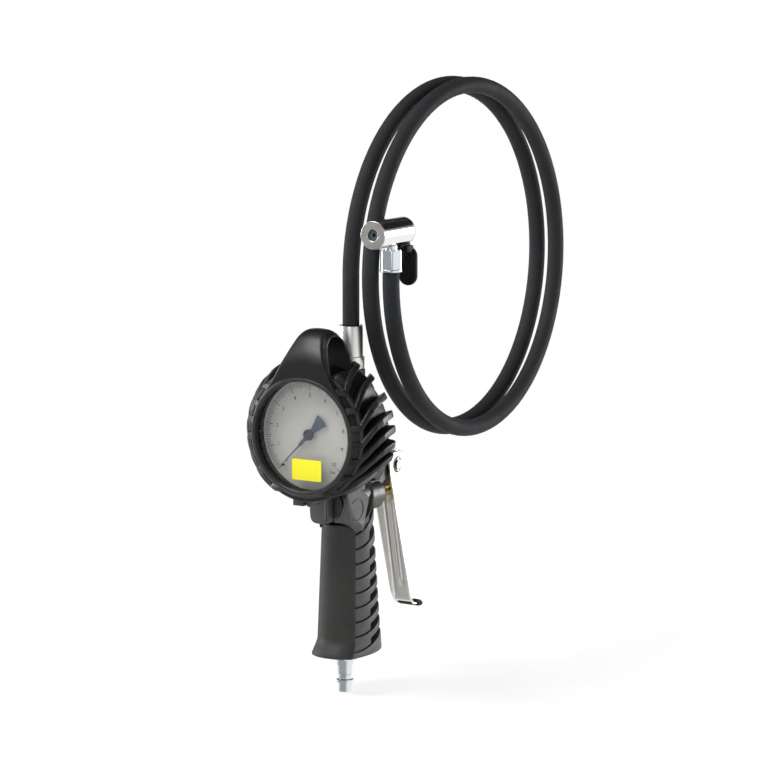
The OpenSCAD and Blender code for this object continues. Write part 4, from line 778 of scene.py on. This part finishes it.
def lever_points():
    """A folded sheet: at each station a U of flange, bend, web with its bead, bend, flange.

    Web and rim points are (y, z) from the pivot. The bead is bead_h*exp(-(x/bead_half)^4) high.
    """
    web = [(4.5, 9.1), (9.6, 7.0), (13.0, 3.0), (14.2, -4.0), (12.0, -10.0), (9.3, -15.5), (5.9, -23.2),
           (5.2, -29.0)]
    rim = [(-4.0, 9.1), (-8.0, 7.2), (-10.0, 2.6), (-9.6, -4.0), (-8.2, -9.6), (-6.6, -15.2), (-4.3, -23.2),
           (-3.0, -29.0)]
    for u in np.linspace(0.12, 0.88, 7):
        web.append((4.6 + 16.2 * u, -27 - 74.5 * u))
        rim.append((-3.8 + 22.0 * u, -27 - 74.0 * u))
    web += [(20.3, -99.5), (20.9, -102.3), (21.6, -103.8), (23.2, -104.4), (28.0, -105.2)]
    rim += [(17.2, -97.2), (19.3, -101.4), (21.2, -104.4), (23.2, -105.8), (28.0, -106.3)]
    web, rim = smooth_line(web, 220), smooth_line(rim, 220)
    deep = np.maximum(np.linalg.norm(web - rim, axis=1), 1e-3)[:, None]
    way = (web - rim) / deep
    r = np.minimum(LEVER_BEND, deep)
    down = np.clip((PIVOT[1] + web[:, 1] - 62) / 8, 0, 1) * np.clip((132 - PIVOT[1] - web[:, 1]) / 6, 0, 1)
    # flange, bend and half of the web: x, and the distance from the rim toward the web
    t, a = np.linspace(0, 1, 10)[:-1], np.radians(np.linspace(0, 90, 8))
    flat = np.linspace(LEVER_HALF - LEVER_BEND - 0.4, 0, 10)
    bead = BEAD_H * np.exp(-((flat / BEAD_HALF) ** 4)) * down[:, None]
    even = np.ones_like(deep)
    x = np.hstack([LEVER_HALF * even * np.ones_like(t), LEVER_HALF - r + r * np.cos(a), flat * even])
    run = np.hstack([(deep - r) * t, deep - r + r * np.sin(a), deep - bead])
    yz = PIVOT + rim[:, None] + way[:, None] * run[..., None]
    return np.dstack([np.hstack([x, -x[:, -2::-1]]), np.concatenate([yz, yz[:, -2::-1]], 1)])


def add_sheet(build, points, depth):
    """A sheet: the grid, the same grid moved in by depth along its normals, and strips round the rim."""
    n = np.cross(np.gradient(points, axis=0), np.gradient(points, axis=1))
    n /= np.linalg.norm(n, axis=2)[..., None] + 1e-12
    inner = points + n * depth
    build.grid(points)
    build.grid(inner)
    edges = [(points[0], inner[0]), (points[-1], inner[-1]),
             (points[:, 0], inner[:, 0]), (points[:, -1], inner[:, -1])]
    for a, b in edges:
        build.grid(np.stack([a, b], 0))
    return build


lever_piece = add_sheet(Build(), lever_points(), LEVER_T).piece(
    "lever_sheet", STEEL, body="lever", slot="stainless", sharp=55)
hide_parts("lever")


TIP_LONG, TIP_THICK, TIP_TILT, TIP_AT = 5.6, 2.4, math.radians(-14), (30.2, -105.9)


def tip_points():
    """Cap on the lip: ovals (long*cos a, thick*sin a), tilted down to the rear, shrinking at both ends."""
    a = np.linspace(0, 2 * math.pi, 48, endpoint=False)
    rows = []
    ends = ((8.3, 1.2), (8.1, 0.6), (7.6, 0.15), (7.1, 0.0))
    for x, inset in [(-x, inset) for x, inset in ends] + list(ends[::-1]):
        across, up = (TIP_LONG - inset) * np.cos(a), (TIP_THICK - inset) * np.sin(a)
        y = PIVOT[0] + TIP_AT[0] + across * math.cos(TIP_TILT) - up * math.sin(TIP_TILT)
        z = PIVOT[1] + TIP_AT[1] + across * math.sin(TIP_TILT) + up * math.cos(TIP_TILT)
        rows.append(np.stack([np.full(len(a), x), y, z], 1))
    return rows


tip_piece = Build().grid(tip_points(), wrap_columns=True, cap_rows=True).piece(
    "tip", BLACK, body="lever", slot="black_plastic", sharp=50)
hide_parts("lever_tip")

# ---- fittings on the column ----
ferrule = [(6.9, 238.0), (8.1, 238.0), (8.5, 238.4), (8.5, 259.3), (8.35, 259.9), (8.1, 260.0), (7.75, 259.8),
           (7.7, 256.6), (6.1, 256.5)]
ferrule_piece = Build().grid(turn(ferrule, (0, COLUMN_Y, 0), Z_AXIS), wrap_columns=True).piece(
    "ferrule", STEEL, slot="stainless", sharp=40)
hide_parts("hose_ferrule")


def hexagon(rows, width, origin, spin, around=144, corner_cut=0.35):
    """A six-sided bar up Z: radius = min(half width / cos(angle from the flat's middle), row's limit)."""
    a = np.linspace(0, 2 * math.pi, around, endpoint=False)
    flat = (a - spin + math.pi / 6) % (math.pi / 3) - math.pi / 6
    hexa = np.minimum(width / 2 / np.cos(flat), width / math.sqrt(3) - corner_cut)
    axis = np.asarray(Z_AXIS, float)
    ring = spokes(axis, around)
    out = []
    for limit, d in rows:
        out.append(np.asarray(origin) + d * axis + np.minimum(hexa, limit)[:, None] * ring)
    return np.array(out)


# ---- chuck ----
CHUCK_Z, NUT_WIDTH, NUT_SPIN = 327.0, 14.0, math.radians(10)
NUT_FOOT = (CHUCK_X, COLUMN_Y, 298)
nut = Build()
# Each row of the hexagon: greatest radius, height over the nut's foot
nut_rows = [(6.6, 1.6), (8.0, 3.2), (8.2, 3.6), (9, 4.0), (9, 15.6), (7.6, 16.6), (7.1, 17.0), (4.6, 17.0)]
nut.grid(hexagon(nut_rows, NUT_WIDTH, NUT_FOOT, NUT_SPIN), wrap_columns=True)
flange = rounded([(5.95, 1.8), (5.95, 1.6), (7.9, 1.6), (7.9, 3.6), (6.4, 3.6)], 0.45)
nut.grid(turn(flange, NUT_FOOT, Z_AXIS), wrap_columns=True)
nut_piece = nut.piece("nut", ZINC, slot="zinc_plate", sharp=28)
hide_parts("chuck_nut")

BARREL_AT = (CHUCK_X, 0, CHUCK_Z)
barrel = rounded([(7.0, -14.3), (9.7, -14.3), (10.0, -14.0), (10.0, 24.0), (9.3, 26.6), (7.2, 28.3),
                  (4.0, 28.5), (0.02, 28.5)], [0, 0.1, 0.2, 2.0, 1.6, 1.2, 1.0, 0], 7)
barrel_piece = Build().grid(turn(barrel, BARREL_AT, Y_AXIS, 128), wrap_columns=True).piece(
    "barrel", CHROME, slot="chrome_plate", sharp=40)
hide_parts("chuck_body")
face = rounded([(9.9, -14.25), (9.9, -15.2), (9.4, -15.5), (4.4, -15.5), (4.0, -15.1), (4.0, -12.4)],
               [0, 0.2, 0.2, 0.3, 0.2, 0], 4)
face_piece = Build().grid(turn(face, BARREL_AT, Y_AXIS, 128), wrap_columns=True).piece(
    "face_ring", NICKEL, slot="satin_nickel", sharp=40)
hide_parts("chuck_face")
insert = rounded([(4.3, -12.4), (4.3, -13.6), (1.3, -13.6), (1.3, -11.4)], [0, 0.2, 0.3, 0], 4)
insert_piece = Build().grid(turn(insert, BARREL_AT, Y_AXIS), wrap_columns=True).piece(
    "insert", SEAL, slot="seal_rubber", sharp=40)
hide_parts("chuck_seal")


def thumb_build():
    """Paddle with round ends, and the three plates that carry it up under the barrel."""
    build = Build()
    centre_y, centre_z, half_w, half_h, thick = 31.0, 301.7, 7.2, 13.8, 4.3
    a = np.linspace(0, 2 * math.pi, 96, endpoint=False)
    rows = []
    faces = ((0.5, 1.6), (0.47, 0.9), (0.36, 0.3), (0.18, 0.0))
    for y, inset in [(-y, inset) for y, inset in faces] + list(faces[::-1]):
        shrink = 1 - inset / half_w
        x = half_w * np.cos(a) * shrink
        z = np.where(np.sin(a) > 0, 1, -1) * (half_h - half_w) + half_w * np.sin(a) * shrink
        rows.append(np.stack([CHUCK_X + x, np.full(len(x), centre_y + y * thick), centre_z + z], 1))
    build.grid(rows, wrap_columns=True, cap_rows=True)
    fin = [(17.5, 318.5), (24.0, 319.3), (30.5, 318.5), (31.5, 312), (31.5, 306), (28.8, 304), (28.3, 308.5),
           (26, 312), (22, 314.5), (18, 315.5)]
    root = [(22.5, 316.6), (30.6, 316.6), (31.4, 314.5), (31.4, 309.0), (28.9, 308.5), (27.5, 311.2),
            (22.5, 312.2)]
    finger = [(20.8, 317), (22.2, 317), (22.2, 322.2), (21.9, 323.0), (21.1, 323.0), (20.8, 322.2)]
    for outline, half, corner, bevel in ((fin, 2.3, 1.4, 0.5), (root, 4.6, 0.8, 0.5), (finger, 2.3, 0.5, 0.2)):
        for side in (1, -1):
            wall = plate(outline, CHUCK_X, CHUCK_X + half * side, corner, bevel)
            build.grid(wall, wrap_columns=True, cap_rows=True)
    return build


thumb_piece = thumb_build().piece("thumb_paddle", BLACK, body="thumb_lever", slot="black_plastic", sharp=40)
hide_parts("thumb_lever")

# ---- CAD nodes that stay, in their real finishes ----
dress(ZINC, "inlet_plug", "chuck_tail", "lever_pin", "link", "thumb_pin")
dress(CAST, "valve_body", "valve_cap")
dress(BRASS, "plunger", "plunger_guide", "inlet_strainer", "valve_poppet", "movement_frame", "sector_gear",
      "bourdon_tube", "gauge_socket", "clamp_piston")
dress(STEEL, "hose_stem")
dress(SEAL, "plug_seal", "cap_ring", "poppet_disc", "plunger_ring", "socket_seal", "stem_seal")
dress(SPRING, "poppet_spring", "clamp_spring", "hairspring", "retaining_clips", "core_pin", "grip_screws")
dress(BLACK, "gauge_case", "bezel_ring", "spacer_ring", "zero_pin")
dress(GLASS, "window")
dress(DIAL, "dial_plate")
dress(LABEL, "dial_label")
dress(BLUE, "pointer", "pointer_arbor")

# ---- floor, light, background ----
FLOOR_HALF, FLOOR_Z = 6, -0.0005
FADE_FROM, FADE_TO, FLOOR_SHADE, FLOOR_GLOW = 0.25, 1.2, (0.3, 0.3, 0.3), 0.76
# Polished parts see less light toward the front: full up to TURN_FROM, DIM from TURN_TO on
FRONT_WAY, DIM, TURN_FROM, TURN_TO = (0.15, 0.98, 0), 0.38, 0.2, 0.66
WHITE = (1, 1, 1, 1)
floor_mesh = bpy.data.meshes.new("floor")
corners = [(x * FLOOR_HALF, y * FLOOR_HALF, FLOOR_Z) for x, y in ((-1, -1), (1, -1), (1, 1), (-1, 1))]
floor_mesh.from_pydata(corners, [], [(0, 1, 2, 3)])
floor = bpy.data.objects.new("floor", floor_mesh)
bpy.context.scene.collection.objects.link(floor)
ground = Nodes("floor")
ground.set("Base Color", ground.mix(ground.noise(3.0), (0.93, 0.93, 0.93), (0.95, 0.95, 0.95)))
ground.set("Roughness", 0.9)
ground.set("Specular IOR Level", 0.0)
# the eye and polished parts see the floor nearly white, darkened only where the part keeps light
# from it, and fading to plain white with distance
far = ground.add("ShaderNodeVectorMath", {0: ground.place}, operation="LENGTH").outputs["Value"]
shade = ground.mix(ground.spread(far, 0, 1, FADE_FROM, FADE_TO), FLOOR_SHADE, (0, 0, 0))
faint = ground.add("ShaderNodeBsdfDiffuse", {"Color": shade})
fade = ground.spread(far, FLOOR_GLOW, 1.0, FADE_FROM, FADE_TO)
glow = ground.add("ShaderNodeEmission", {"Color": WHITE, "Strength": fade})
bright = ground.add("ShaderNodeAddShader", {0: faint.outputs[0], 1: glow.outputs[0]})
eye = ground.add("ShaderNodeLightPath")
heading = ground.add("ShaderNodeNewGeometry").outputs["Incoming"]
front = ground.add("ShaderNodeVectorMath", {0: heading, 1: FRONT_WAY}, operation="DOT_PRODUCT").outputs["Value"]
mirrored = ground.add("ShaderNodeEmission",
                      {"Color": WHITE, "Strength": ground.spread(front, 1.0, DIM, TURN_FROM, TURN_TO)})
seen = ground.add("ShaderNodeMixShader",
                  {"Fac": eye.outputs["Is Glossy Ray"], 1: ground.shader.outputs[0], 2: mirrored.outputs[0]})
both = ground.add("ShaderNodeMixShader",
                  {"Fac": eye.outputs["Is Camera Ray"], 1: seen.outputs[0], 2: bright.outputs[0]})
ground.link(both.outputs[0], ground.tree.nodes["Material Output"].inputs["Surface"])
floor_mesh.materials.append(ground.mat)


def area_light(name, place, target, size, power):
    """An oblong lamp at place, in metres, turned toward target."""
    data = bpy.data.lights.new(name, "AREA")
    data.shape, data.size, data.size_y, data.energy = "RECTANGLE", size[0], size[1], power
    lamp = bpy.data.objects.new(name, data)
    bpy.context.scene.collection.objects.link(lamp)
    z = np.subtract(place, target).astype(float)
    z /= np.linalg.norm(z)
    x = np.cross((0, 0, 1), z)
    x /= np.linalg.norm(x)
    y = np.cross(z, x)
    m = Matrix.Identity(4)
    for i in range(3):
        m[i][0], m[i][1], m[i][2], m[i][3] = x[i], y[i], z[i], place[i]
    lamp.matrix_world = m


area_light("key", (-0.6, -0.85, 1.6), (0, 0, 0.2), (0.7, 0.7), 20)
area_light("front", (0.5, -2.0, 0.7), (0, 0, 0.2), (1.0, 1.0), 6)
area_light("left", (-1.6, -0.4, 0.5), (0, 0, 0.2), (0.35, 0.9), 12)
area_light("right", (0.95, 1.35, 0.25), (0.03, -0.02, 0.17), (0.5, 0.8), 15)

# The eye sees white, matt surfaces get an even light, polished ones a bright horizon under a dark sky
world = bpy.data.worlds.new("world")
bpy.context.scene.world = world
world.use_nodes = True
tree = world.node_tree
tree.nodes.clear()
out = tree.nodes.new("ShaderNodeOutputWorld")
ray = tree.nodes.new("ShaderNodeLightPath")
way = tree.nodes.new("ShaderNodeTexCoord")
split = tree.nodes.new("ShaderNodeSeparateXYZ")
ramp = tree.nodes.new("ShaderNodeValToRGB")
ramp.color_ramp.elements[0].position, ramp.color_ramp.elements[0].color = 0.0, (0.9, 0.9, 0.9, 1)
ramp.color_ramp.elements[1].position, ramp.color_ramp.elements[1].color = 1.0, (0.45, 0.45, 0.46, 1)
for place, grey in ((0.48, 1.0), (0.56, 0.95), (0.63, 0.45), (0.69, 0.02), (0.88, 0.015)):
    ramp.color_ramp.elements.new(place).color = (grey, grey, grey, 1)
span = tree.nodes.new("ShaderNodeMapRange")
span.inputs["From Min"].default_value, span.inputs["From Max"].default_value = -1, 1
tree.links.new(way.outputs["Generated"], split.inputs[0])
tree.links.new(split.outputs["Z"], span.inputs["Value"])
tree.links.new(span.outputs["Result"], ramp.inputs["Fac"])
# Backgrounds for the eye, for matt surfaces and for polished ones
shades = []
for strength in (1.0, 0.35, 1.0):
    shade = tree.nodes.new("ShaderNodeBackground")
    shade.inputs["Color"].default_value = WHITE
    shade.inputs["Strength"].default_value = strength
    shades.append(shade)
tree.links.new(ramp.outputs["Color"], shades[2].inputs["Color"])
front = tree.nodes.new("ShaderNodeVectorMath")
front.operation = "DOT_PRODUCT"
front.inputs[1].default_value = [-part for part in FRONT_WAY]
tree.links.new(way.outputs["Generated"], front.inputs[0])
fall = tree.nodes.new("ShaderNodeMapRange")
for key, value in (("From Min", TURN_FROM), ("From Max", TURN_TO), ("To Min", 1.0), ("To Max", DIM)):
    fall.inputs[key].default_value = value
tree.links.new(front.outputs["Value"], fall.inputs["Value"])
tree.links.new(fall.outputs["Result"], shades[2].inputs["Strength"])
matt, seen = tree.nodes.new("ShaderNodeMixShader"), tree.nodes.new("ShaderNodeMixShader")
tree.links.new(ray.outputs["Is Diffuse Ray"], matt.inputs["Fac"])
tree.links.new(shades[2].outputs[0], matt.inputs[1])
tree.links.new(shades[1].outputs[0], matt.inputs[2])
tree.links.new(ray.outputs["Is Camera Ray"], seen.inputs["Fac"])
tree.links.new(matt.outputs[0], seen.inputs[1])
tree.links.new(shades[0].outputs[0], seen.inputs[2])
tree.links.new(seen.outputs[0], out.inputs["Surface"])
